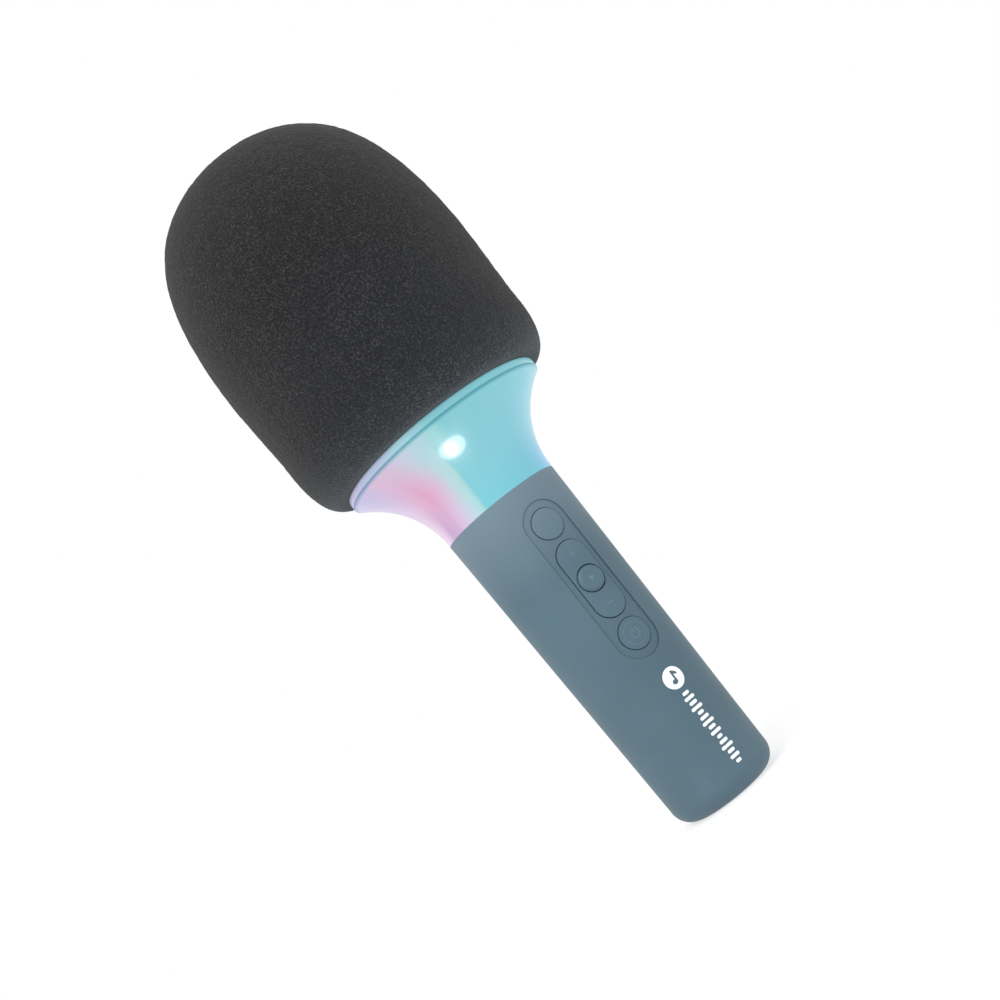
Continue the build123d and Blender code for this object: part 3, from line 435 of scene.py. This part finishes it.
def woven_cloth(name, colour):
    """Fine woven mesh: two crossed sets of threads."""
    m = Nodes(name)
    across = m.node("ShaderNodeTexWave", bands_direction="DIAGONAL")
    across.inputs["Scale"].default_value = 700.0
    along = m.node("ShaderNodeTexWave", bands_direction="Z")
    along.inputs["Scale"].default_value = 700.0
    m.link(m.coords, across.inputs["Vector"])
    m.link(m.coords, along.inputs["Vector"])
    weave = m.math("MULTIPLY", across.outputs["Fac"], along.outputs["Fac"])
    dark = tuple(c * 0.4 for c in colour[:3]) + (1.0,)
    m.set(
        Base_Color=m.mix(weave, dark, colour),
        Roughness=0.85,
        Sheen_Weight=0.3,
        Normal=m.bump(weave, 0.0001, 0.8),
    )
    return m.material


def glow_lens():
    """Phosphor under clear resin."""
    m = Nodes("led_lens")
    grain = m.noise(1800.0, 2.0, 0.5)
    colour = m.mix(m.span(grain, 0.3, 0.7), rgb(250, 236, 170), rgb(255, 248, 214))
    m.set(Base_Color=colour, Roughness=0.2, Emission_Color=colour, Emission_Strength=0.6)
    return m.material


GRIP = grip_plastic("grip_soft_touch", 1.0)
KEYS = grip_plastic("key_soft_touch", 1.03)
PANEL = grip_plastic("panel_soft_touch", 0.97)
BLACK = soft_plastic("black_moulding", rgb(30, 30, 32), grain=0.00006)
CAGE = soft_plastic("cage_moulding", rgb(38, 39, 42), grain=0.00006)
WHITE = soft_plastic("white_moulding", rgb(226, 227, 224), light=1.02, dark=0.95)
RUBBER = soft_plastic("black_rubber", rgb(26, 26, 27), grain=0.00003)
STEEL = brushed_metal("stamped_steel", (0.62, 0.62, 0.64, 1.0))
FERRITE = soft_plastic("ferrite", rgb(58, 58, 62), grain=0.00008)
COPPER = brushed_metal("copper_winding", (0.78, 0.38, 0.2, 1.0))
PAPER = soft_plastic("paper_cone", rgb(44, 43, 42), grain=0.0001)
WRAP = soft_plastic("cell_wrap", rgb(58, 128, 170), grain=0.00001)
SLEEVING = soft_plastic("wire_sleeving", rgb(176, 40, 36), grain=0.00001)
BOARD = board_material()
CLOTH = woven_cloth("liner_cloth", rgb(52, 52, 55))
LENS = glow_lens()
COLLAR = lit_plastic()
FOAM = foam_material()
INK = print_ink("white_print", rgb(236, 241, 244), rgb(196, 210, 218))
MARK = print_ink("faint_print", rgb(88, 114, 127), rgb(78, 104, 117))

BY_SLOT = {
    "grip_plastic": GRIP,
    "key_plastic": KEYS,
    "collar_plastic": COLLAR,
    "foam": FOAM,
    "white_plastic": WHITE,
    "black_plastic": BLACK,
    "cage_plastic": CAGE,
    "mesh_cloth": CLOTH,
    "circuit_board": BOARD,
    "steel": STEEL,
    "magnet": FERRITE,
    "copper": COPPER,
    "paper_cone": PAPER,
    "rubber": RUBBER,
    "cell_wrap": WRAP,
    "wire_sleeve": SLEEVING,
    "led": LENS,
}
for part in frame["record"]["subparts"]:
    dress(part["node"], BY_SLOT[part["material_slot"]])
dress("key_panel", PANEL)


# ---------------------------------------------------------------- mesh helpers
def new_mesh(name, points, faces, material, body):
    """A new piece, riding on a body, with its material and slot."""
    mesh = bpy.data.meshes.new(name)
    mesh.from_pydata([tuple(p) for p in points], [], faces)
    mesh.validate()
    mesh.update()
    mesh.shade_smooth()
    mesh.materials.append(material)
    piece = bpy.data.objects.new(name, mesh)
    bpy.context.scene.collection.objects.link(piece)
    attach(piece, body)
    return piece


def bezier(a, b, c, d, count):
    """Points along a cubic Bezier curve, without its last point."""
    t = np.linspace(0, 1, count, endpoint=False)[:, None]
    a, b, c, d = (np.array(point, float) for point in (a, b, c, d))
    return (1 - t) ** 3 * a + 3 * (1 - t) ** 2 * t * b + 3 * (1 - t) * t**2 * c + t**3 * d


# ---------------------------------------------------------------- foam windscreen
FOAM_TURNS = 440
CAVITY_SHARE = 8
FOAM_RELIEF = ((0.14 * MM, 17 * MM), (0.07 * MM, 3.1 * MM), (0.09 * MM, 1.15 * MM))
FOAM_CALM = 3 * MM
FOAM_BASE = RIM_HIGH.z + 0.1 * MM
FOAM_FOOT_R = 0.8235 * FOAM_R
FOAM_HEEL_R = 0.9751 * FOAM_R
FOAM_HEEL = FOAM_LOW.z + 15.7 * MM
FOAM_SHOULDER = FOAM_LOW.z + 45.6 * MM
FOAM_FULLNESS = 0.709
HEEL_FULLNESS = 0.575
CAVITY_R = CAGE_R + 0.3 * MM
CAVITY_TOP = CAGE_TOP + 0.3 * MM
CAVITY_SHOULDER = CAVITY_TOP - 44.0 * MM
CAVITY_FULLNESS = 0.664


def foam_outline():
    """Radius and height down the outside, from the base edge to just short of the top."""
    rise = FOAM_HEEL - FOAM_BASE
    side = (FOAM_SHOULDER - FOAM_HEEL) / 3
    dome = FOAM_TOP - FOAM_SHOULDER
    foot = FOAM_FOOT_R + HEEL_FULLNESS * (FOAM_HEEL_R - FOAM_FOOT_R)
    return np.vstack([
        bezier((CAVITY_R + 0.9 * MM, FOAM_BASE), (FOAM_FOOT_R - 1 * MM, FOAM_BASE),
               (FOAM_FOOT_R - 0.5 * MM, FOAM_BASE), (FOAM_FOOT_R, FOAM_BASE), 4),
        bezier((FOAM_FOOT_R, FOAM_BASE), (foot, FOAM_BASE),
               (FOAM_HEEL_R, FOAM_HEEL - HEEL_FULLNESS * rise), (FOAM_HEEL_R, FOAM_HEEL), 27),
        bezier((FOAM_HEEL_R, FOAM_HEEL), (FOAM_HEEL_R, FOAM_HEEL + side),
               (FOAM_R, FOAM_SHOULDER - side), (FOAM_R, FOAM_SHOULDER), 46),
        bezier((FOAM_R, FOAM_SHOULDER), (FOAM_R, FOAM_SHOULDER + FOAM_FULLNESS * dome),
               (FOAM_FULLNESS * FOAM_R, FOAM_TOP), (0, FOAM_TOP), 122),
    ])


def cavity_outline():
    """Radius and height up the cavity, from the base to just short of its top."""
    dome = CAVITY_TOP - CAVITY_SHOULDER
    side = (CAVITY_SHOULDER - FOAM_BASE) / 3
    return np.vstack([
        bezier((CAVITY_R, FOAM_BASE), (CAVITY_R, FOAM_BASE + side),
               (CAVITY_R, CAVITY_SHOULDER - side), (CAVITY_R, CAVITY_SHOULDER), 14),
        bezier((CAVITY_R, CAVITY_SHOULDER), (CAVITY_R, CAVITY_SHOULDER + CAVITY_FULLNESS * dome),
               (CAVITY_FULLNESS * CAVITY_R, CAVITY_TOP), (0, CAVITY_TOP), 24),
    ])


def lattice_noise(points, cell, rng):
    """Smooth random values from -1 to 1 on a cubic lattice of that cell size."""
    low = points.min(0) - cell
    count = np.ceil((points.max(0) - low) / cell).astype(int) + 3
    values = rng.uniform(-1, 1, count)
    place = (points - low) / cell
    whole = np.floor(place).astype(int)
    part = place - whole
    part = part * part * (3 - 2 * part)
    total = np.zeros(len(points))
    for corner in np.ndindex(2, 2, 2):
        share = np.prod(np.where(corner, part, 1 - part), axis=1)
        x, y, z = (whole + corner).T
        total += share * values[x, y, z]
    return total


def revolve(outline, turns):
    """Points of an outline turned about the axis: outline index first, then angle."""
    angle = np.linspace(0, 2 * math.pi, turns, endpoint=False)
    r = outline[:, 0][:, None]
    z = np.broadcast_to(outline[:, 1][:, None], (len(outline), turns))
    return np.stack([r * np.cos(angle), r * np.sin(angle), z], axis=2).reshape(-1, 3)


def ring_faces(rings, turns, first, outward):
    """Four-sided faces between neighbouring rings."""
    faces = []
    for ring in range(rings - 1):
        for step in range(turns):
            after = (step + 1) % turns
            low = first + ring * turns
            face = (low + step, low + after, low + turns + after, low + turns + step)
            faces.append(face if outward else face[::-1])
    return faces


def outline_normals(outline, turns):
    """Outward directions for the revolved points."""
    along = np.gradient(outline, axis=0)
    length = np.linalg.norm(along, axis=1)
    out = np.stack([along[:, 1] / length, -along[:, 0] / length], axis=1)
    return revolve(out, turns)


def foam_windscreen():
    """The foam as a real surface: worn open cells, slightly uneven, with its cavity."""
    rng = np.random.default_rng(SEED)
    outline = foam_outline()
    cavity = cavity_outline()
    inner_turns = FOAM_TURNS // CAVITY_SHARE
    points = revolve(outline, FOAM_TURNS)
    relief = np.zeros(len(points))
    for depth, cell in FOAM_RELIEF:
        relief += depth * lattice_noise(points, cell, rng)
    lift = np.clip((points[:, 2] - FOAM_BASE) / FOAM_CALM, 0.0, 1.0)
    points = points + outline_normals(outline, FOAM_TURNS) * (relief * lift)[:, None]
    top = len(points)
    points = np.vstack([points, [[0, 0, FOAM_TOP]], revolve(cavity, inner_turns), [[0, 0, CAVITY_TOP]]])
    faces = ring_faces(len(outline), FOAM_TURNS, 0, True)
    last = top - FOAM_TURNS
    faces += [(last + k, last + (k + 1) % FOAM_TURNS, top) for k in range(FOAM_TURNS)]
    first = top + 1
    faces += ring_faces(len(cavity), inner_turns, first, False)
    cavity_top = len(points) - 1
    last = cavity_top - inner_turns
    faces += [(last + (k + 1) % inner_turns, last + k, cavity_top) for k in range(inner_turns)]
    for k in range(inner_turns):
        outer = [(k * CAVITY_SHARE + j) % FOAM_TURNS for j in range(CAVITY_SHARE + 1)]
        faces.append((first + k, first + (k + 1) % inner_turns, *outer[::-1]))
    piece = new_mesh("foam_surface", points, faces, FOAM, "windscreen")
    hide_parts("foam_windscreen")
    return piece


# ---------------------------------------------------------------- printed marks
PRINT_PROUD = 0.04 * MM
FILL_STEP = 0.45 * MM
ICON_Z = 36.6 * MM
ICON_R = 3.3 * MM
PRINT_X = 0.6 * MM
NOTE_HEAD = (-0.28, -1.2)
BARS_LOW_Z = 8.0 * MM
BARS_PITCH = 1.66 * MM
BARS_THICK = 0.98 * MM
BARS_WIDE = 4.2 * MM
BAR_SHARES = (0.45, 0.8, 0.6, 1.0, 0.7, 0.45, 0.9, 0.6, 1.0, 0.75, 0.5, 0.95, 0.65, 0.85, 0.55)


def inside(point, loops):
    """Whether a flat point is inside an odd number of loops."""
    x, y = point
    crossings = 0
    for loop in loops:
        for (x0, y0), (x1, y1) in zip(loop, loop[1:] + loop[:1]):
            if (y0 > y) != (y1 > y) and x < (x1 - x0) * (y - y0) / (y1 - y0) + x0:
                crossings += 1
    return crossings % 2 == 1


def circle(x, y, r, count=48):
    """A circle as a loop."""
    turns = [2 * math.pi * k / count for k in range(count)]
    return [(x + r * math.cos(t), y + r * math.sin(t)) for t in turns]


def bar(x, y, width, height, count=8):
    """An upright bar with round ends, as a loop."""
    r = min(width, height) / 2
    ends = []
    for side in (0, 1):
        for k in range(count + 1):
            t = math.pi * (side + k / count)
            if width > height:
                t -= math.pi / 2
                middle = (x + (width / 2 - r) * (1 - 2 * side), y)
            else:
                middle = (x, y + (height / 2 - r) * (1 - 2 * side))
            ends.append((middle[0] + r * math.cos(t), middle[1] + r * math.sin(t)))
    return ends


def filled(loops, step):
    """Triangles that fill closed loops, with points inside them every step to follow a curve."""
    points = [p for loop in loops for p in loop]
    edges = []
    first = 0
    for loop in loops:
        count = len(loop)
        edges += [(first + k, first + (k + 1) % count) for k in range(count)]
        first += count
    low = np.min(points, axis=0)
    high = np.max(points, axis=0)
    for x in np.arange(low[0] + step / 2, high[0], step):
        for y in np.arange(low[1] + step / 2, high[1], step):
            if inside((x, y), loops):
                points.append((x, y))
    flat, _, faces, _, _, _ = delaunay_2d_cdt([Vector(p) for p in points], edges, [], 0, 1e-9)
    kept = []
    for face in faces:
        middle = np.mean([tuple(flat[k]) for k in face], axis=0)
        if inside(middle, loops):
            kept.append(tuple(face))
    return [tuple(p) for p in flat], kept


def on_grip(flat, z_middle):
    """Places flat points just proud of the grip's front: first number along its curve, second up it."""
    placed = []
    for across, up in flat:
        z = z_middle + up
        r = grip_r(z)
        angle = across / r
        placed.append(((r + PRINT_PROUD) * math.sin(angle), -(r + PRINT_PROUD) * math.cos(angle), z))
    return placed


def on_key(node, flat, z_middle):
    """Places flat points just in front of the face of a key."""
    mesh = frame["nodes"][node].data
    corners = [v.co for v in mesh.vertices]
    tree = BVHTree.FromPolygons(corners, [tuple(p.vertices) for p in mesh.polygons])
    placed = []
    for across, up in flat:
        start = Vector((across, -2 * GRIP_TOP_R, z_middle + up))
        hit = tree.ray_cast(start, Vector((0, 1, 0)))[0]
        placed.append(hit - Vector((0, MARK_PROUD, 0)))
    return placed


def printed(name, loops, z_middle):
    """A white print on the grip, filling flat loops."""
    flat, faces = filled(loops, FILL_STEP)
    return new_mesh(name, on_grip(flat, z_middle), faces, INK, "handle")


def song_icon():
    """A disc with a clear note in it."""
    disc = circle(PRINT_X, 0, ICON_R, 72)
    return printed("print_song_icon", [disc, note_outline(PRINT_X, 0)], ICON_Z)


def note_outline(x, y):
    """A quaver as one loop: its round head, then the stem and the short flag at its top."""
    turns = np.linspace(math.radians(75), math.radians(350), 26)
    head = [(NOTE_HEAD[0] + 0.9 * math.cos(t), NOTE_HEAD[1] + 0.72 * math.sin(t)) for t in turns]
    stem = [(0.62, 0.5), (0.62, 0.85), (1.75, 0.3), (1.75, 1.05), (0.62, 2.1), (0.05, 2.1)]
    return [(x + px * MM, y + py * MM) for px, py in head + stem]


def sound_bars():
    """A row of bars of differing length, as on a level meter."""
    loops = []
    for k, share in enumerate(BAR_SHARES):
        loops.append(bar(PRINT_X, BARS_PITCH * k, BARS_WIDE * share, BARS_THICK))
    return printed("print_sound_bars", loops, BARS_LOW_Z)


# ---------------------------------------------------------------- marks on the keys
MARK_PROUD = 0.02 * MM
MARK_STROKE = 0.32 * MM
MARK_STEP = 0.4 * MM
ROCKER_MARK_REACH = 8.6 * MM
RAY_COUNT = 8
RAY_REACH = 1.42 * MM
RAY_R = 0.2 * MM
RAY_HUB_R = 0.72 * MM
POWER_R = 1.35 * MM
POWER_GAP = 32
POWER_BAR_Z = 0.95 * MM
POWER_BAR_LENGTH = 1.5 * MM
POWER_RING_R = 3.3 * MM
POWER_RING_STROKE = 0.16 * MM
PLUS_REACH = 1.05 * MM
PLAY_SIGN = [(-0.8 * MM, -1.0 * MM), (1.0 * MM, 0), (-0.8 * MM, 1.0 * MM)]


def middle_z(node):
    """Height of the middle of a CAD node."""
    low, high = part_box(node)
    return (low.z + high.z) / 2


def ring(x, y, r, stroke):
    """The two loops of a thin closed ring."""
    return [circle(x, y, r + stroke / 2, 56), circle(x, y, r - stroke / 2, 56)]


def open_ring(r, stroke, gap):
    """A ring left open at the top, as one loop; gap is half the opening, in degrees."""
    turns = np.radians(np.linspace(90 + gap, 450 - gap, 40))
    outside = [((r + stroke / 2) * math.cos(t), (r + stroke / 2) * math.sin(t)) for t in turns]
    within = [((r - stroke / 2) * math.cos(t), (r - stroke / 2) * math.sin(t)) for t in turns[::-1]]
    return outside + within


def key_mark(name, node, body, loops, z_middle):
    """A faint mark on a key, filling flat loops."""
    flat, faces = filled(loops, MARK_STEP)
    return new_mesh(name, on_key(node, flat, z_middle), faces, MARK, body)


def ray_loops():
    """A round hub with small dots round it."""
    loops = [circle(0, 0, RAY_HUB_R, 28)]
    for k in range(RAY_COUNT):
        t = 2 * math.pi * k / RAY_COUNT
        loops.append(circle(RAY_REACH * math.cos(t), RAY_REACH * math.sin(t), RAY_R, 12))
    return loops


def power_loops():
    """An open ring with a bar in its opening, inside a thin ring."""
    loops = [open_ring(POWER_R, MARK_STROKE, POWER_GAP), bar(0, POWER_BAR_Z, MARK_STROKE, POWER_BAR_LENGTH)]
    return loops + ring(0, 0, POWER_RING_R, POWER_RING_STROKE)


def plus_loop():
    """A plus sign as one loop."""
    arm = MARK_STROKE / 2
    reach = PLUS_REACH
    return [
        (reach, arm), (arm, arm), (arm, reach), (-arm, reach), (-arm, arm), (-reach, arm),
        (-reach, -arm), (-arm, -arm), (-arm, -reach), (arm, -reach), (arm, -arm), (reach, -arm),
    ]


def key_marks():
    """Faint marks: rays on the mode key, power sign, play sign, plus and minus."""
    key_mark("mark_mode", "mode_key", "mode_key", ray_loops(), middle_z("mode_key"))
    key_mark("mark_power", "power_key", "power_key", power_loops(), middle_z("power_key"))
    key_mark("mark_play", "play_key", "play_key", [PLAY_SIGN], middle_z("play_key"))
    rocker = "volume_rocker"
    z = middle_z(rocker)
    key_mark("mark_louder", rocker, rocker, [plus_loop()], z + ROCKER_MARK_REACH)
    minus = bar(0, 0, 2 * PLUS_REACH, MARK_STROKE)
    key_mark("mark_quieter", rocker, rocker, [minus], z - ROCKER_MARK_REACH)


# ---------------------------------------------------------------- panel bead and key seals
BEAD_DEPTH = 0.37 * MM
BEAD_WIDTH = 0.15 * MM
SEAL_DEPTH = 0.75 * MM
SEAL_CLEAR = 0.02 * MM
SEAL_END = 50
STRIP_STEP = 0.5 * MM
KEY_R = 4.7 * MM
KEY_GAP = 0.25 * MM
ROCKER_LENGTH = 25.7 * MM
ROCKER_WIDTH = 9.74 * MM
ROCKER_SWING = 0.24 * MM


def slot_loop(length, width, count=28):
    """An upright slot with round ends, as a loop."""
    r = width / 2
    loop = []
    for side in (1, -1):
        for k in range(count + 1):
            t = math.pi * k / count + (0 if side > 0 else math.pi)
            loop.append((r * math.cos(t), side * (length / 2 - r) + r * math.sin(t)))
    return loop


def key_gap_strip(name, loops, z_middle, depth):
    """A thin strip that follows the grip's curved front, set back from it by a depth."""
    flat, faces = filled(loops, STRIP_STEP)
    points = []
    for x, up in flat:
        r = grip_r(z_middle + up) - depth
        points.append((x, -math.sqrt(r * r - x * x), z_middle + up))
    return new_mesh(name, points, faces, PANEL, "handle")


def rocker_seal(side):
    """The loop of one side's seal, narrowing towards the ends that swing up and down."""
    straight = (ROCKER_LENGTH - ROCKER_WIDTH) / 2
    outer = []
    inner = []
    for turn in np.radians(np.linspace(-SEAL_END, SEAL_END, 41)):
        end = math.copysign(1.0, turn)
        for loop, r, reach in (
            (outer, ROCKER_WIDTH / 2 + KEY_GAP - SEAL_CLEAR, straight),
            (inner, ROCKER_WIDTH / 2 + SEAL_CLEAR, straight + ROCKER_SWING),
        ):
            loop.append((side * r * math.cos(turn), end * reach + r * math.sin(turn)))
    return outer + inner[::-1]


def key_seals():
    """Dust seals standing in the gaps round the keys, clear of how far each key moves."""
    for node in ("mode_key", "power_key"):
        outer = circle(0, 0, KEY_R + KEY_GAP - SEAL_CLEAR, 72)
        loops = [outer, circle(0, 0, KEY_R + SEAL_CLEAR, 72)]
        key_gap_strip(node + "_seal", loops, middle_z(node), SEAL_DEPTH)
    z = middle_z("volume_rocker")
    key_gap_strip("volume_seal_right", [rocker_seal(1)], z, SEAL_DEPTH)
    key_gap_strip("volume_seal_left", [rocker_seal(-1)], z, SEAL_DEPTH)


def panel_bead():
    """The thin bead of glue that closes the joint between the key panel and the grip."""
    low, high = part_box("key_panel")
    length = high.z - low.z
    width = high.x - low.x
    outer = slot_loop(length + 2 * BEAD_WIDTH, width + 2 * BEAD_WIDTH)
    key_gap_strip("panel_bead", [outer, slot_loop(length, width)], middle_z("key_panel"), BEAD_DEPTH)


def soft_copy(node, name):
    """A copy of a CAD node, standing for it, with the node itself hidden."""
    source = frame["nodes"][node]
    mesh = source.data.copy()
    mesh.transform(source.matrix_world)
    piece = bpy.data.objects.new(name, mesh)
    bpy.context.scene.collection.objects.link(piece)
    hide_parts(node)
    return piece


def speaker_suspension():
    """Copies of the surround and spider stand for their CAD nodes: the surround's copy stays in place, the
    spider's rides on the handle.
    """
    surround = soft_copy("speaker_surround", "surround_rubber")
    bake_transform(surround)
    spider = soft_copy("speaker_spider", "spider_cloth")
    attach(spider, "handle")
    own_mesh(spider)


foam_windscreen()
speaker_suspension()
song_icon()
sound_bars()
key_marks()
key_seals()
panel_bead()


# ---------------------------------------------------------------- stage, light, camera
FLOOR_REACH = 6.0
WORLD_STRENGTH = 1.0
CAMERA_PLACE = Vector((-0.1563, -0.3682, 0.0592))
CAMERA_AIM_Z = 0.1076
CAMERA_ROLL = math.radians(38.9)
CAMERA_LENS = 48.91
CAMERA_SHIFT = (0.002, 0.003)
SOFTBOX_PLACE = (-0.75, -0.75, 1.0)
SOFTBOX_AIM = (0, 0, 0.14)
SOFTBOX_SIZE = (0.7, 0.7)
SOFTBOX_WATTS = 9
GLOW_PLACE = (-0.018, -0.055, 0.03)
GLOW_AIM = (0, -0.02, 0.15)
GLOW_SIZE = (0.08, 0.05)
GLOW_WATTS = 0.25
GLOW_COLOUR = (0.76, 0.93, 1.0)
GLINT_Z = 124.5 * MM
GLINT_R = 26.0 * MM
GLINT_DROP = math.radians(69.1)
GLINT_REACH = 0.12
GLINTS = (
    ("collar_glint", 5.0, (0.052, 0.04), 0.12),
    ("collar_glint_soft", -14.0, (0.046, 0.036), 0.07),
)


def pale_material():
    """Pale paper sweep, bright enough to read as a white studio."""
    m = Nodes("studio_paper")
    mottle = m.noise(30.0, 3.0, 0.5)
    shade = m.mix(m.span(mottle, 0.3, 0.7), rgb(158, 158, 158), rgb(162, 162, 162))
    m.set(
        Base_Color=shade,
        Roughness=0.9,
        Specular_IOR_Level=0.0,
        Emission_Color=rgb(255, 255, 255),
        Emission_Strength=0.66,
        Normal=m.bump(mottle, 0.0005, 0.2),
    )
    return m.material


def floor():
    mesh = bpy.data.meshes.new("studio_floor")
    reach = FLOOR_REACH
    corners = [(-reach, -reach, 0), (reach, -reach, 0), (reach, reach, 0), (-reach, reach, 0)]
    mesh.from_pydata(corners, [], [(0, 1, 2, 3)])
    mesh.materials.append(pale_material())
    piece = bpy.data.objects.new("studio_floor", mesh)
    bpy.context.scene.collection.objects.link(piece)
    return piece


def world_light(strength):
    world = bpy.data.worlds.new("studio")
    world.use_nodes = True
    background = world.node_tree.nodes["Background"]
    background.inputs["Color"].default_value = (1, 1, 1, 1)
    background.inputs["Strength"].default_value = strength
    bpy.context.scene.world = world


def facing(place, target, roll=0.0):
    """World matrix of a lamp or camera at a place, looking at a target, turned about its view line."""
    forward = (target - place).normalized()
    level = forward.cross(Vector((0, 0, 1))).normalized()
    upright = level.cross(forward)
    up = upright * math.cos(roll) + level * math.sin(roll)
    right = forward.cross(up)
    turned = Matrix((right, up, -forward)).transposed().to_4x4()
    turned.translation = place
    return turned


def soft_lamp(name, place, target, size, watts, reaches=None):
    """An area lamp that the camera doesn't see, lighting everything or only some objects."""
    data = bpy.data.lights.new(name, "AREA")
    data.shape = "ELLIPSE"
    data.size, data.size_y = size
    data.energy = watts
    lamp = bpy.data.objects.new(name, data)
    bpy.context.scene.collection.objects.link(lamp)
    lamp.matrix_world = facing(Vector(place), Vector(target))
    lamp.visible_camera = False
    if reaches:
        group = bpy.data.collections.new(name + "_reaches")
        for piece in reaches:
            group.objects.link(bpy.data.objects[piece])
        lamp.light_linking.receiver_collection = group
    return lamp


def collar_glow():
    """The lit collar's glow on the foam's heel, from below."""
    lamp = soft_lamp("collar_glow", GLOW_PLACE, GLOW_AIM, GLOW_SIZE, GLOW_WATTS, ["foam_surface"])
    lamp.data.color = GLOW_COLOUR
    lamp.light_linking.blocker_collection = lamp.light_linking.receiver_collection


def camera():
    data = bpy.data.cameras.new("photo_camera")
    data.sensor_width = 36.0
    data.lens = CAMERA_LENS
    data.shift_x, data.shift_y = CAMERA_SHIFT
    piece = bpy.data.objects.new("photo_camera", data)
    bpy.context.scene.collection.objects.link(piece)
    piece.matrix_world = facing(CAMERA_PLACE, Vector((0, 0, CAMERA_AIM_Z)), CAMERA_ROLL)
    bpy.context.scene.camera = piece


def glint_lamps():
    """Small lamps that leave one soft uneven highlight on the front of the collar."""
    towards = Vector((CAMERA_PLACE.x, CAMERA_PLACE.y, 0)).normalized()
    spot = towards * GLINT_R + Vector((0, 0, GLINT_Z))
    for name, turn, size, watts in GLINTS:
        beam = Matrix.Rotation(math.radians(turn), 3, "Z") @ (towards * math.cos(GLINT_DROP))
        place = spot + GLINT_REACH * (beam - Vector((0, 0, math.sin(GLINT_DROP))))
        lamp = soft_lamp(name, place, spot, size, watts, ["light_collar"])
        lamp.visible_diffuse = False


floor()
world_light(WORLD_STRENGTH)
soft_lamp("key_softbox", SOFTBOX_PLACE, SOFTBOX_AIM, SOFTBOX_SIZE, SOFTBOX_WATTS)
collar_glow()
glint_lamps()
camera()
bpy.context.scene.view_settings.view_transform = "Standard"
